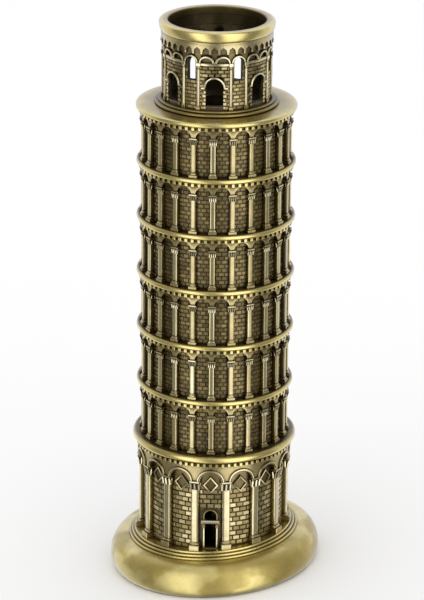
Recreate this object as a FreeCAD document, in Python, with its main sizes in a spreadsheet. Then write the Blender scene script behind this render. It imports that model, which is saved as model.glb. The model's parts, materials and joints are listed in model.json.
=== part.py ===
import FreeCAD, Part
import math
import os
import re

import Sketcher
from FreeCAD import Placement, Rotation, Vector

# A desk model of a leaning round bell tower, cast in brass and clamped on a tie rod.
# Z is up. The origin is the centre of the underside, where the model stands on a table.
# The foot stands upright. The tower is turned about Y, so that it leans towards +X,
# and its door faces -Y. Each storey is a casting of its own, located by a spigot.

DRIVING = {
    # foot, upright
    "lean": 4.0,
    "base_top": 14.5,
    "base_radius": 46.5,
    "base_under_radius": 44.0,
    "base_top_radius": 39.5,
    "base_widest": 5.5,
    "base_lower_round": 6.2,
    "base_upper_round": 8.4,
    "base_lift": 0.4,
    "base_hollow_radius": 36.0,
    "base_web": 5.5,
    "base_boss_radius": 10.0,
    "base_boss_bottom": 2.0,
    "felt_radius": 42.0,
    "felt_thick": 1.0,
    "felt_gap": 0.3,
    "plinth_radius": 37.5,
    "plinth_step": 1.2,
    "plinth_height": 3.2,
    "plinth_bore": 27.5,
    "plinth_inset": 0.3,
    "bead_round": 0.62,
    # tower walls
    "tower_bore": 28.0,
    "wall_root": 0.4,
    "cut_margin": 1.0,
    "niche_overlap": 0.5,
    "spigot_radius": 27.9,
    "spigot_bore": 26.6,
    "spigot_height": 1.2,
    # ground storey
    "ground_wall": 31.0,
    "ground_top": 42.7,
    "ground_bays": 15,
    "ground_shaft": 1.66,
    "ground_column_ring": 31.5,
    "ground_capital_bottom": 31.45,
    "ground_column_foot": 1.0,
    "ground_abacus_bottom": 34.65,
    "ground_abacus_top": 35.6,
    "ground_band": 33.1,
    "ground_archivolt_face": 33.8,
    "ground_arch_inner": 4.95,
    "ground_arch_outer": 6.0,
    "archivolt_lap": 0.3,
    "ground_pedestal_height": 3.2,
    "ground_pedestal_ring": 32.0,
    "ground_pedestal_face": 34.8,
    "ground_pedestal_root": 1.0,
    "ground_block_face": 34.0,
    "ground_block_half_width": 2.3,
    "seat_reach": 40.0,
    "seat_below": 8.0,
    "lozenge_centre": 33.3,
    "lozenge_half_width": 3.1,
    "lozenge_half_height": 3.55,
    "lozenge_edge": 0.75,
    "lozenge_face": 31.9,
    "lozenge_root": 0.6,
    "panel_depth": 0.5,
    "door_half_width": 2.4,
    "door_sill": 3.7,
    "door_top": 15.1,
    "lintel_top": 16.8,
    "lintel_half_width": 4.0,
    "lunette_spring": 18.7,
    "portal_face": 32.3,
    "portal_frame": 1.3,
    "lintel_proud": 0.4,
    "head_set_back": 0.3,
    "jamb_root": 0.6,
    "ground_ring_radius": 35.7,
    "ground_ring_height": 3.4,
    "ground_dentil_core": 33.3,
    "ground_dentil_face": 34.6,
    "ground_dentil_height": 2.0,
    "ground_dentils": 80,
    # galleries
    "gallery_wall": 30.3,
    "gallery_columns": 24,
    "gallery_column_ring": 31.2,
    "gallery_shaft": 1.14,
    "gallery_band": 31.9,
    "first_cornice": 71.15,
    "first_pitch": 25.3,
    "pitch_drop": 0.2,
    "ring_radius": 34.3,
    "ring_height": 2.2,
    "dentil_core": 32.0,
    "dentil_face": 33.2,
    "dentil_height": 1.7,
    "dentils": 72,
    "dentil_root": 0.3,
    "dentil_lap": 0.1,
    "dentil_share": 0.52,
    "ring_flat": 0.5,
    "ring_bulge": 0.72,
    "pedestal_height": 1.25,
    "pedestal_half_width": 1.85,
    "abacus_half_width": 1.7,
    "gallery_block_face": 32.9,
    "torus_height": 1.4,
    "torus_straight": 0.9,
    "torus_swell": 1.3,
    "capital_swell": 1.45,
    "capital_lip": 0.3,
    "capital_height": 1.9,
    "abacus_height": 0.95,
    "impost_height": 3.3,
    "niche_radius": 2.6,
    "niche_spring_drop": 0.4,
    # terrace and bell chamber
    "terrace_radius": 34.5,
    "terrace_height": 2.35,
    "well_radius": 8.5,
    "well_depth": 12.0,
    "well_wall": 1.6,
    "foot_radius": 26.1,
    "foot_upper_radius": 24.8,
    "foot_round": 0.85,
    "foot_height": 2.4,
    "foot_step": 1.4,
    "foot_bore": 19.6,
    "collar_radius": 20.7,
    "collar_height": 0.8,
    "bell_bore": 20.8,
    "bell_wall": 22.9,
    "bell_height": 24.8,
    "bell_bays": 7,
    "bell_door_half_width": 3.65,
    "bell_door_sill": 1.6,
    "bell_door_spring": 9.4,
    "bell_window_half_width": 1.9,
    "bell_window_sill": 12.6,
    "bell_window_spring": 20.5,
    "bell_moulding": 0.6,
    "blind_arch_gap": 0.15,
    "door_arch_extra": 0.2,
    "string_bottom": 18.9,
    "string_top": 20.5,
    "pilaster_radius": 0.6,
    "pilaster_swell": 1.5,
    "pilaster_foot": 1.0,
    "pilaster_taper": 0.4,
    "rebate_radius": 21.75,
    "rebate_height": 1.0,
    "rebate_gap": 0.05,
    "rebate_clearance": 0.1,
    "corbel_height": 4.5,
    "corbel_band": 3.2,
    "corbels": 40,
    "corbel_niche_share": 0.66,
    "corbel_niche_point": 0.3,
    "corbel_face": 23.9,
    "corbel_core": 23.1,
    "corbel_moulding": 23.7,
    "corbel_round": 0.8,
    "rim_radius": 24.7,
    "rim_foot_radius": 23.9,
    "rim_height": 4.5,
    "rim_swell": 9.0,
    "rim_lip": 1.2,
    "rim_inner_round": 0.5,
    # fixings
    "rod_radius": 2.5,
    "rod_clearance": 2.75,
    "rod_below": 12.6,
    "rod_above": 6.0,
    "rod_chamfer": 0.5,
    "thread_gap": 0.05,
    "nut_seat": 7.0,
    "nut_pocket_radius": 6.6,
    "nut_across_flats": 8.0,
    "nut_height": 4.0,
    "dome_height": 3.2,
    "dome_lap": 0.5,
    "dome_flat": 0.5,
    "dome_inset": 0.3,
    "dome_round": 4.2,
    "washer_radius": 5.5,
    "washer_thick": 1.0,
    "washer_gap": 0.15,
    "screw_ring": 23.2,
    "screw_radius": 1.0,
    "screw_clearance": 0.1,
    "screw_thread_gap": 0.02,
    "screw_depth": 1.8,
    "screw_head_radius": 1.9,
    "screw_head_height": 1.3,
    "screw_socket": 0.8,
    "screws": 3,
}

doc = FreeCAD.newDocument("LeaningTower")
sheet = doc.addObject("Spreadsheet::Sheet", "Dims")
for row, (alias, number) in enumerate(DRIVING.items(), start=1):
    sheet.set(f"A{row}", alias)
    sheet.set(f"B{row}", str(number))
    sheet.setAlias(f"B{row}", alias)
doc.recompute()

GALLERIES = 6
pieces = []
cuts = []


def named(expression):
    """Writes a short expression's dimension names the way the document reads them."""

    def dimension(word):
        return f"Dims.{word[0]}" if word[0] in DRIVING else word[0]

    return re.sub(r"[a-z_]+", dimension, expression)


def size(expression):
    """The present value of an expression."""
    result = sheet.evalExpression(named(expression))
    return float(getattr(result, "Value", result))


def cornice_level(storey):
    """Height of the lower edge of the cornice over a gallery, along the tower's axis."""
    rises = storey - 1
    drops = rises * (rises - 1) / 2
    return f"first_cornice + {rises} * first_pitch - {drops} * pitch_drop"


TERRACE_LEVEL = cornice_level(GALLERIES)
BELL_FOOT_LEVEL = f"{TERRACE_LEVEL} + terrace_height"
BELL_LEVEL = f"{BELL_FOOT_LEVEL} + foot_height"
CORBEL_LEVEL = f"{BELL_LEVEL} + bell_height"
RIM_LEVEL = f"{CORBEL_LEVEL} + corbel_height"
WELL_LEVEL = f"{BELL_FOOT_LEVEL} - well_depth"


# ---------------------------------------------------------------- bodies and placing


def new_body(label):
    """A new body for one piece."""
    body = doc.addObject("PartDesign::Body", label)
    body.Label = label
    pieces.append(body)
    return body


def stand_upright(piece, height):
    """Places a piece of the foot on the vertical axis."""
    piece.setExpression("Placement.Base.z", named(height))


def stand_leaning(piece, height):
    """Places a piece of the tower, at a height along the leaning axis."""
    piece.Placement = Placement(Vector(0, 0, 0), Rotation(Vector(0, 1, 0), size("lean")))
    piece.setExpression("Placement.Base.x", named(f"( {height} ) * sin(lean * 1 deg)"))
    piece.setExpression("Placement.Base.z", named(f"base_top + ( {height} ) * cos(lean * 1 deg)"))


def origin_feature(body, role):
    """A plane or axis of the body's own origin."""
    return next(item for item in body.Origin.OriginFeatures if item.Role == role)


def new_sketch(body, name, role="XZ_Plane"):
    """An empty sketch on one of the body's origin planes."""
    sketch = body.newObject("Sketcher::SketchObject", name)
    sketch.AttachmentSupport = [(origin_feature(body, role), "")]
    sketch.MapMode = "FlatFace"
    return sketch


def facing_sketch(body, name, radius, angle=0.0, height="0"):
    """A sketch square to the wall: x runs along the wall, y up, at a radius and an angle from the door."""
    sketch = new_sketch(body, name)
    sketch.AttachmentOffset = Placement(Vector(0, 0, 0), Rotation(Vector(0, 1, 0), angle))
    sketch.setExpression("AttachmentOffset.Base.x", named(f"( {radius} ) * sin({angle} deg)"))
    sketch.setExpression("AttachmentOffset.Base.z", named(f"( {radius} ) * cos({angle} deg)"))
    sketch.setExpression("AttachmentOffset.Base.y", named(height))
    return sketch


# ---------------------------------------------------------------- sketch outlines


def pin_point(sketch, geometry, end, x, y):
    """Ties a point of a sketch to its two dimensions."""
    for kind, expression, axis in (("DistanceX", x, -2), ("DistanceY", y, -1)):
        if expression == "0":
            sketch.addConstraint(Sketcher.Constraint("PointOnObject", geometry, end, axis))
            continue
        rule = Sketcher.Constraint(kind, -1, 1, geometry, end, size(expression))
        index = sketch.addConstraint(rule)
        sketch.setExpression(f"Constraints[{index}]", named(expression))


def outline(sketch, corners, bulges=None):
    """A closed outline. A side listed in bulges is an arc of that radius, swelling outwards."""
    bulges = bulges or {}
    points = [Vector(size(x), size(y), 0) for x, y in corners]
    count = len(points)
    for index, start in enumerate(points):
        finish = points[(index + 1) % count]
        if index in bulges:
            radius = size(bulges[index])
            chord = finish - start
            rise = radius - math.sqrt(max(radius**2 - (chord.Length / 2) ** 2, 0))
            side = Vector(chord.y, -chord.x, 0).normalize()
            middle = (start + finish) / 2 + side * rise
            sketch.addGeometry(Part.Arc(start, middle, finish), False)
        else:
            sketch.addGeometry(Part.LineSegment(start, finish), False)
    for index in range(count):
        following = (index + 1) % count
        sketch.addConstraint(Sketcher.Constraint("Coincident", index, 2, following, 1))
    for index, (x, y) in enumerate(corners):
        pin_point(sketch, index, 1, x, y)
    for index, radius in bulges.items():
        rule = sketch.addConstraint(Sketcher.Constraint("Radius", index, size(radius)))
        sketch.setExpression(f"Constraints[{rule}]", named(radius))


def rectangle(sketch, half_width, bottom, top):
    """An upright rectangle about the sketch's vertical axis."""
    left = f"0 - ( {half_width} )"
    right = f"0 + ( {half_width} )"
    outline(sketch, [(left, bottom), (right, bottom), (right, top), (left, top)])


def round_arch(sketch, half_width, foot, spring):
    """An opening with straight sides and a half-round head."""
    reach = size(half_width)
    low = size(foot)
    high = size(spring)
    corners = [Vector(-reach, low, 0), Vector(reach, low, 0), Vector(reach, high, 0), Vector(-reach, high, 0)]
    sketch.addGeometry(Part.LineSegment(corners[3], corners[0]), False)
    sketch.addGeometry(Part.LineSegment(corners[0], corners[1]), False)
    sketch.addGeometry(Part.LineSegment(corners[1], corners[2]), False)
    sketch.addGeometry(Part.Arc(corners[2], Vector(0, high + reach, 0), corners[3]), False)
    for first, second in ((0, 1), (1, 2), (2, 3), (3, 0)):
        sketch.addConstraint(Sketcher.Constraint("Coincident", first, 2, second, 1))
    left = f"0 - ( {half_width} )"
    right = f"0 + ( {half_width} )"
    pin_point(sketch, 0, 1, left, spring)
    pin_point(sketch, 1, 1, left, foot)
    pin_point(sketch, 2, 1, right, foot)
    pin_point(sketch, 3, 1, right, spring)
    centre_arc(sketch, 3, spring)


def centre_arc(sketch, arc, height):
    """Keeps the centre of a half-round arc level with its ends."""
    index = sketch.addConstraint(Sketcher.Constraint("DistanceY", -1, 1, arc, 3, size(height)))
    sketch.setExpression(f"Constraints[{index}]", named(height))


def arch_band(sketch, inner, outer, spring):
    """Half of a ring, standing on its spring line."""
    reach_in = size(inner)
    reach_out = size(outer)
    high = size(spring)
    outer_left = Vector(-reach_out, high, 0)
    outer_right = Vector(reach_out, high, 0)
    inner_left = Vector(-reach_in, high, 0)
    inner_right = Vector(reach_in, high, 0)
    sketch.addGeometry(Part.Arc(outer_right, Vector(0, high + reach_out, 0), outer_left), False)
    sketch.addGeometry(Part.LineSegment(outer_left, inner_left), False)
    sketch.addGeometry(Part.Arc(inner_right, Vector(0, high + reach_in, 0), inner_left), False)
    sketch.addGeometry(Part.LineSegment(inner_right, outer_right), False)
    for first, end, second, start in ((0, 2, 1, 1), (1, 2, 2, 2), (2, 1, 3, 1), (3, 2, 0, 1)):
        sketch.addConstraint(Sketcher.Constraint("Coincident", first, end, second, start))
    pin_point(sketch, 0, 1, f"0 + ( {outer} )", spring)
    pin_point(sketch, 0, 2, f"0 - ( {outer} )", spring)
    pin_point(sketch, 2, 1, f"0 + ( {inner} )", spring)
    pin_point(sketch, 2, 2, f"0 - ( {inner} )", spring)
    centre_arc(sketch, 0, spring)
    centre_arc(sketch, 2, spring)


def centred_circle(sketch, radius):
    """A circle about the sketch's origin."""
    sketch.addGeometry(Part.Circle(Vector(0, 0, 0), Vector(0, 0, 1), size(radius)), False)
    sketch.addConstraint(Sketcher.Constraint("Coincident", 0, 3, -1, 1))
    rule = sketch.addConstraint(Sketcher.Constraint("Radius", 0, size(radius)))
    sketch.setExpression(f"Constraints[{rule}]", named(radius))


# ---------------------------------------------------------------- features


def revolve(body, sketch, name):
    """Turns a profile about the sketch's vertical axis."""
    feature = body.newObject("PartDesign::Revolution", name)
    feature.Profile = sketch
    feature.ReferenceAxis = (sketch, ["V_Axis"])
    feature.Angle = 360
    return feature


def turned(body, name, corners, bulges=None):
    """A solid of revolution about the body's own Z axis."""
    sketch = new_sketch(body, f"{name}_profile")
    outline(sketch, corners, bulges)
    return revolve(body, sketch, name)


def pad(body, sketch, name, length):
    """Pads a sketch outwards from the tower."""
    feature = body.newObject("PartDesign::Pad", name)
    feature.Profile = sketch
    feature.setExpression("Length", named(length))
    return feature


def pocket(body, sketch, name, length, outwards=True):
    """Cuts a sketch out of the body, and remembers the cut so that its volume can be compared."""
    feature = body.newObject("PartDesign::Pocket", name)
    feature.Profile = sketch
    feature.setExpression("Length", named(length))
    feature.Reversed = outwards
    cuts.append(feature)
    return feature


def around(body, features, name, count):
    """Repeats features at equal steps round the body's Z axis."""
    pattern = body.newObject("PartDesign::PolarPattern", name)
    pattern.Originals = features
    pattern.Axis = (origin_feature(body, "Z_Axis"), [""])
    pattern.Angle = 360
    pattern.Occurrences = int(size(count))
    pattern.setExpression("Occurrences", named(count))
    body.Tip = pattern
    for feature in features:
        feature.Visibility = False
    return pattern


# ---------------------------------------------------------------- foot


def make_felt_pad():
    body = new_body("felt_pad")
    disc = new_sketch(body, "felt_outline", "XY_Plane")
    centred_circle(disc, "felt_radius")
    pad(body, disc, "felt", "felt_thick")


def make_base_disc():
    """The foot: rounded outside, hollow below, with a boss bored along the leaning axis."""
    body = new_body("base_disc")
    turned(
        body,
        "base",
        [
            ("0", "base_boss_bottom"),
            ("base_boss_radius", "base_boss_bottom"),
            ("base_boss_radius", "base_top - base_web"),
            ("base_hollow_radius", "base_top - base_web"),
            ("base_hollow_radius", "felt_thick"),
            ("felt_radius + felt_gap", "felt_thick"),
            ("felt_radius + felt_gap", "base_lift"),
            ("base_under_radius", "base_lift"),
            ("base_radius", "base_widest"),
            ("base_top_radius", "base_top"),
            ("0", "base_top"),
        ],
        {7: "base_lower_round", 8: "base_upper_round"},
    )
    doc.recompute()
    bore = new_sketch(body, "rod_bore_profile")
    bore.AttachmentOffset = Placement(Vector(0, 0, 0), Rotation(Vector(0, 0, 1), -size("lean")))
    bore.setExpression("AttachmentOffset.Base.y", named("base_top"))
    outline(
        bore,
        [
            ("0", "0 - base_top - cut_margin"),
            ("nut_pocket_radius", "0 - base_top - cut_margin"),
            ("nut_pocket_radius", "0 - nut_seat"),
            ("rod_clearance", "0 - nut_seat"),
            ("rod_clearance", "cut_margin"),
            ("0", "cut_margin"),
        ],
    )
    groove = body.newObject("PartDesign::Groove", "rod_bore")
    groove.Profile = bore
    groove.ReferenceAxis = (bore, ["V_Axis"])
    groove.Angle = 360
    cuts.append(groove)


def make_plinth_ring():
    """Three stepped beads that carry the ground storey."""
    body = new_body("plinth_ring")
    third = "plinth_height / 3"
    turned(
        body,
        "beads",
        [
            ("plinth_bore", "0"),
            ("plinth_radius - plinth_inset", "0"),
            ("plinth_radius - plinth_inset", third),
            ("plinth_radius - plinth_step", third),
            ("plinth_radius - plinth_step", f"2 * {third}"),
            ("plinth_radius - 2 * plinth_step", f"2 * {third}"),
            ("plinth_radius - 2 * plinth_step", "plinth_height"),
            ("plinth_bore", "plinth_height"),
        ],
        {1: "bead_round", 3: "bead_round", 5: "bead_round"},
    )
    stand_upright(body, "base_top")


# ---------------------------------------------------------------- columns and walls


def column(body, name, ring, angle, shaft, foot, capital, abacus):
    """A shaft with a torus at its foot and a flared capital, standing half out of the wall."""
    sketch = facing_sketch(body, f"{name}_profile", ring, angle)
    outline(
        sketch,
        [
            ("0", foot),
            (f"{shaft} * torus_swell", foot),
            (f"{shaft} * torus_swell", f"{foot} + torus_straight"),
            (shaft, f"{foot} + torus_height"),
            (shaft, capital),
            (f"{shaft} * capital_swell", f"{abacus} - capital_lip"),
            (f"{shaft} * capital_swell", abacus),
            ("0", abacus),
        ],
    )
    return revolve(body, sketch, name)


def block(body, name, inner, outer, angle, half_width, bottom, top):
    """A square block standing out of the wall."""
    sketch = facing_sketch(body, f"{name}_outline", inner, angle)
    rectangle(sketch, half_width, bottom, top)
    return pad(body, sketch, name, f"{outer} - ( {inner} )")


def make_gallery(storey):
    """A wall with half-round columns, each with a pedestal, capital and abacus, and arches between."""
    body = new_body(f"gallery_{storey}")
    if storey == 1:
        floor = "ground_top + ground_dentil_height + ground_ring_height"
    else:
        floor = f"{cornice_level(storey - 1)} + ring_height"
    top = f"{cornice_level(storey)} - dentil_height - ( {floor} )"
    abacus_top = f"{top} - impost_height"
    half_bay = 180.0 / size("gallery_columns")
    turned(
        body,
        "wall",
        [
            ("tower_bore", "0"),
            ("gallery_wall", "0"),
            ("gallery_wall", abacus_top),
            ("gallery_band", abacus_top),
            ("gallery_band", top),
            ("tower_bore", top),
        ],
    )
    doc.recompute()
    niche = facing_sketch(body, "niche_outline", "gallery_wall", half_bay)
    spring = f"{abacus_top} - niche_spring_drop"
    round_arch(niche, "niche_radius", f"{abacus_top} - niche_overlap", spring)
    arch = pocket(body, niche, "niche", "gallery_band - gallery_wall + cut_margin")
    around(body, [arch], "niches", "gallery_columns")
    shaft = column(
        body,
        "column",
        "gallery_column_ring",
        0.0,
        "gallery_shaft",
        "pedestal_height",
        f"{abacus_top} - abacus_height - capital_height",
        f"{abacus_top} - abacus_height",
    )
    inside = "gallery_wall - wall_root"
    outside = "gallery_block_face"
    foot = block(body, "pedestal", inside, outside, 0.0, "pedestal_half_width", "0", "pedestal_height")
    cap_bottom = f"{abacus_top} - abacus_height"
    cap = block(body, "abacus", inside, outside, 0.0, "abacus_half_width", cap_bottom, abacus_top)
    around(body, [shaft, foot, cap], "columns", "gallery_columns")
    stand_leaning(body, floor)


def make_ground_storey():
    """The ground wall: blind arches on columns, a lozenge under each arch, and the portal."""
    body = new_body("ground_storey")
    bay = 360.0 / size("ground_bays")
    slope = "tan(lean * 1 deg)"
    turned(
        body,
        "wall",
        [
            ("tower_bore", "0"),
            ("ground_wall", "0"),
            ("ground_wall", "ground_abacus_top"),
            ("ground_band", "ground_abacus_top"),
            ("ground_band", "ground_top"),
            ("tower_bore", "ground_top"),
        ],
    )
    doc.recompute()
    niche = facing_sketch(body, "niche_outline", "ground_wall")
    niche_foot = "ground_abacus_top - niche_overlap"
    round_arch(niche, "ground_arch_inner + archivolt_lap", niche_foot, "ground_abacus_top")
    arch = pocket(body, niche, "niche", "ground_band - ground_wall + cut_margin")
    around(body, [arch], "niches", "ground_bays")
    moulding = facing_sketch(body, "archivolt_outline", "ground_wall - archivolt_lap")
    arch_band(moulding, "ground_arch_inner", "ground_arch_outer", "ground_abacus_top")
    archivolt = pad(body, moulding, "archivolt", "ground_archivolt_face - ground_wall + archivolt_lap")
    outer = facing_sketch(body, "lozenge_outline", "ground_wall - lozenge_root", 0.0, "lozenge_centre")
    lozenge_outline(outer, "0")
    lozenge = pad(body, outer, "lozenge", "lozenge_face - ground_wall + lozenge_root")
    shaft = column(
        body,
        "column",
        "ground_column_ring",
        bay / 2,
        "ground_shaft",
        "ground_column_foot",
        "ground_capital_bottom",
        "ground_abacus_bottom",
    )
    cap = block(
        body,
        "abacus",
        "ground_wall - wall_root",
        "ground_block_face",
        bay / 2,
        "ground_block_half_width",
        "ground_abacus_bottom",
        "ground_abacus_top",
    )
    around(body, [archivolt, lozenge, shaft, cap], "bays", "ground_bays")
    doc.recompute()
    inner = facing_sketch(body, "panel_outline", "lozenge_face - panel_depth", 0.0, "lozenge_centre")
    lozenge_outline(inner, "lozenge_edge")
    panel = pocket(body, inner, "panel", "panel_depth + cut_margin")
    around(body, [panel], "panels", "ground_bays")
    for index in range(int(size("ground_bays"))):
        angle = (index + 0.5) * bay
        rise = f"ground_pedestal_ring * {math.sin(math.radians(angle)):.4f} * {slope}"
        level = f"( plinth_height + {rise} )"
        block(
            body,
            f"pedestal_{index + 1}",
            "ground_wall - wall_root",
            "ground_pedestal_face",
            angle,
            "ground_block_half_width",
            f"{level} - ground_pedestal_root",
            f"{level} + ground_pedestal_height",
        )
    make_portal(body)
    doc.recompute()
    seat = new_sketch(body, "seat_outline")
    outline(
        seat,
        [
            ("0 - seat_reach", f"plinth_height - seat_reach * {slope}"),
            ("0 - seat_reach", "0 - seat_below"),
            ("seat_reach", "0 - seat_below"),
            ("seat_reach", f"plinth_height + seat_reach * {slope}"),
        ],
    )
    cut = pocket(body, seat, "sloping_seat", "2 * seat_reach")
    cut.Midplane = True
    stand_leaning(body, "0")


def lozenge_outline(sketch, inset):
    """A diamond, smaller by an inset on every point."""
    across = f"lozenge_half_width - {inset}"
    upright = f"lozenge_half_height - {inset}"
    corners = [
        (f"0 - ( {across} )", "0"),
        ("0", f"0 - ( {upright} )"),
        (f"0 + {across}", "0"),
        ("0", f"0 + {upright}"),
    ]
    outline(sketch, corners)


def make_portal(body):
    """Jambs, lintel and arched head. The doorway and the lunette over it open into the hollow tower."""
    frame = "door_half_width + portal_frame"
    inside = "ground_wall - wall_root"
    block(body, "jambs", inside, "portal_face", 0.0, frame, "plinth_height - jamb_root", "door_top")
    lintel_face = "portal_face + lintel_proud"
    block(body, "lintel", inside, lintel_face, 0.0, "lintel_half_width", "door_top", "lintel_top")
    head = facing_sketch(body, "head_outline", inside)
    round_arch(head, frame, "lintel_top", "lunette_spring")
    pad(body, head, "head", f"portal_face - head_set_back - ( {inside} )")
    doc.recompute()
    through = "portal_face + lintel_proud - tower_bore + 2 * cut_margin"
    doorway = facing_sketch(body, "doorway_outline", "tower_bore - cut_margin")
    rectangle(doorway, "door_half_width", "door_sill", "door_top")
    pocket(body, doorway, "doorway", through)
    lunette = facing_sketch(body, "lunette_outline", "tower_bore - cut_margin")
    round_arch(lunette, "door_half_width", "lintel_top", "lunette_spring")
    pocket(body, lunette, "lunette", through)


# ---------------------------------------------------------------- cornices


def make_cornice(label, level, edge, height, core, face, drop, count, closed=False):
    """A rounded ring over a band of dentils, with a spigot into each wall.

    The closed one is the terrace: it is floored across, with a well in the middle for the top nut.
    """
    body = new_body(label)
    top = f"{drop} + {height}"
    corners = [
        ("spigot_bore", f"0 - spigot_height"),
        ("spigot_radius", f"0 - spigot_height"),
        ("spigot_radius", "0"),
        (core, "0"),
        (core, drop),
        (f"{edge} - ring_flat", drop),
        (f"{edge} - ring_flat", top),
    ]
    if closed:
        well_floor = f"{top} - well_depth"
        corners += [
            ("well_radius", top),
            ("well_radius", well_floor),
            ("rod_clearance", well_floor),
            ("rod_clearance", f"{well_floor} - well_wall"),
            ("well_radius + well_wall", f"{well_floor} - well_wall"),
            ("well_radius + well_wall", drop),
            ("spigot_bore", drop),
        ]
    else:
        raised = f"{top} + spigot_height"
        corners += [("spigot_radius", top), ("spigot_radius", raised), ("spigot_bore", raised)]
    turned(body, "ring", corners, {5: f"{height} * ring_bulge"})
    tooth_half = f"{face} * pi / {count} * dentil_share"
    tooth = block(body, "dentil", f"{core} - dentil_root", face, 0.0, tooth_half, "0", f"{drop} + dentil_lap")
    around(body, [tooth], "dentils_round", count)
    if closed:
        doc.recompute()
        screw_holes(body, top, "screw_radius + screw_clearance", f"{height} + cut_margin")
    stand_leaning(body, f"{level} - {drop}")
    return body


def screw_holes(body, height, radius, depth):
    """Three holes for the belfry screws, cut down from a height."""
    sketch = new_sketch(body, "screw_hole_outline", "XY_Plane")
    sketch.setExpression("AttachmentOffset.Base.z", named(height))
    sketch.addGeometry(Part.Circle(Vector(0, size("screw_ring"), 0), Vector(0, 0, 1), size(radius)), False)
    pin_point(sketch, 0, 3, "0", "screw_ring")
    rule = sketch.addConstraint(Sketcher.Constraint("Radius", 0, size(radius)))
    sketch.setExpression(f"Constraints[{rule}]", named(radius))
    hole = pocket(body, sketch, "screw_hole", depth, outwards=False)
    around(body, [hole], "screw_holes", "screws")


# ---------------------------------------------------------------- bell chamber


def make_bell_foot():
    body = new_body("bell_foot")
    turned(
        body,
        "steps",
        [
            ("foot_bore", "0"),
            ("foot_radius", "0"),
            ("foot_radius", "foot_step"),
            ("foot_upper_radius", "foot_step"),
            ("foot_upper_radius", "foot_height"),
            ("collar_radius", "foot_height"),
            ("collar_radius", "foot_height + collar_height"),
            ("foot_bore", "foot_height + collar_height"),
        ],
        {1: "foot_round", 3: "bead_round"},
    )
    doc.recompute()
    screw_holes(body, "screw_depth", "screw_radius + screw_thread_gap", "screw_depth + cut_margin")
    stand_leaning(body, BELL_FOOT_LEVEL)


def make_bell_chamber():
    """The open bell chamber: door bays and window bays in turn, under a ring of small arches."""
    body = new_body("bell_chamber")
    period = 360.0 / size("bell_bays")
    small_bay = period / 3
    small_radius = f"bell_wall * pi / ( 3 * bell_bays ) - blind_arch_gap"
    turned(
        body,
        "wall",
        [
            ("bell_bore", "0"),
            ("bell_wall", "0"),
            ("bell_wall", "bell_height"),
            ("rebate_radius", "bell_height"),
            ("rebate_radius", "bell_height + rebate_height"),
            ("bell_bore", "bell_height + rebate_height"),
        ],
    )
    inside = "bell_wall - wall_root"
    face = "bell_wall + bell_moulding"
    thick = "bell_moulding + wall_root"
    first = facing_sketch(body, "blind_arch_outline", inside, small_bay / 2)
    arch_band(first, f"{small_radius} - bell_moulding", small_radius, "string_top")
    blind_left = pad(body, first, "blind_arch", thick)
    second = facing_sketch(body, "second_arch_outline", inside, -small_bay / 2)
    arch_band(second, f"{small_radius} - bell_moulding", small_radius, "string_top")
    blind_right = pad(body, second, "second_blind_arch", thick)
    third = facing_sketch(body, "window_arch_outline", inside, period / 2)
    arch_band(third, f"{small_radius} - bell_moulding", small_radius, "string_top")
    over_window = pad(body, third, "window_arch", thick)
    door_head = facing_sketch(body, "door_arch_outline", inside)
    door_arch = "bell_door_half_width + bell_moulding + door_arch_extra"
    arch_band(door_head, "bell_door_half_width", door_arch, "bell_door_spring")
    over_door = pad(body, door_head, "door_arch", thick)
    string_half = f"{size('bell_wall') * math.sin(math.radians(small_bay)):.3f}"
    string = block(body, "string", inside, face, 0.0, string_half, "string_bottom", "string_top")
    shafts = []
    for side in (-1, 1):
        name = f"pilaster_{'left' if side < 0 else 'right'}"
        sketch = facing_sketch(body, f"{name}_profile", "bell_wall", side * small_bay)
        outline(
            sketch,
            [
                ("0", "0"),
                ("pilaster_radius * pilaster_swell", "0"),
                ("pilaster_radius * pilaster_swell", "pilaster_foot"),
                ("pilaster_radius", "pilaster_foot + pilaster_taper"),
                ("pilaster_radius", "string_bottom"),
                ("pilaster_radius * pilaster_swell", "string_bottom + pilaster_taper"),
                ("pilaster_radius * pilaster_swell", "string_top"),
                ("0", "string_top"),
            ],
        )
        shafts.append(revolve(body, sketch, name))
    trim = [blind_left, blind_right, over_window, over_door, string] + shafts
    around(body, trim, "bays", "bell_bays")
    doc.recompute()
    through = "bell_wall + bell_moulding - bell_bore + 2 * cut_margin"
    door = facing_sketch(body, "door_outline", "bell_bore - cut_margin")
    round_arch(door, "bell_door_half_width", "bell_door_sill", "bell_door_spring")
    doorway = pocket(body, door, "doorway", through)
    window = facing_sketch(body, "window_outline", "bell_bore - cut_margin", period / 2)
    round_arch(window, "bell_window_half_width", "bell_window_sill", "bell_window_spring")
    light = pocket(body, window, "window", through)
    around(body, [doorway, light], "openings", "bell_bays")
    stand_leaning(body, BELL_LEVEL)


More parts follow.
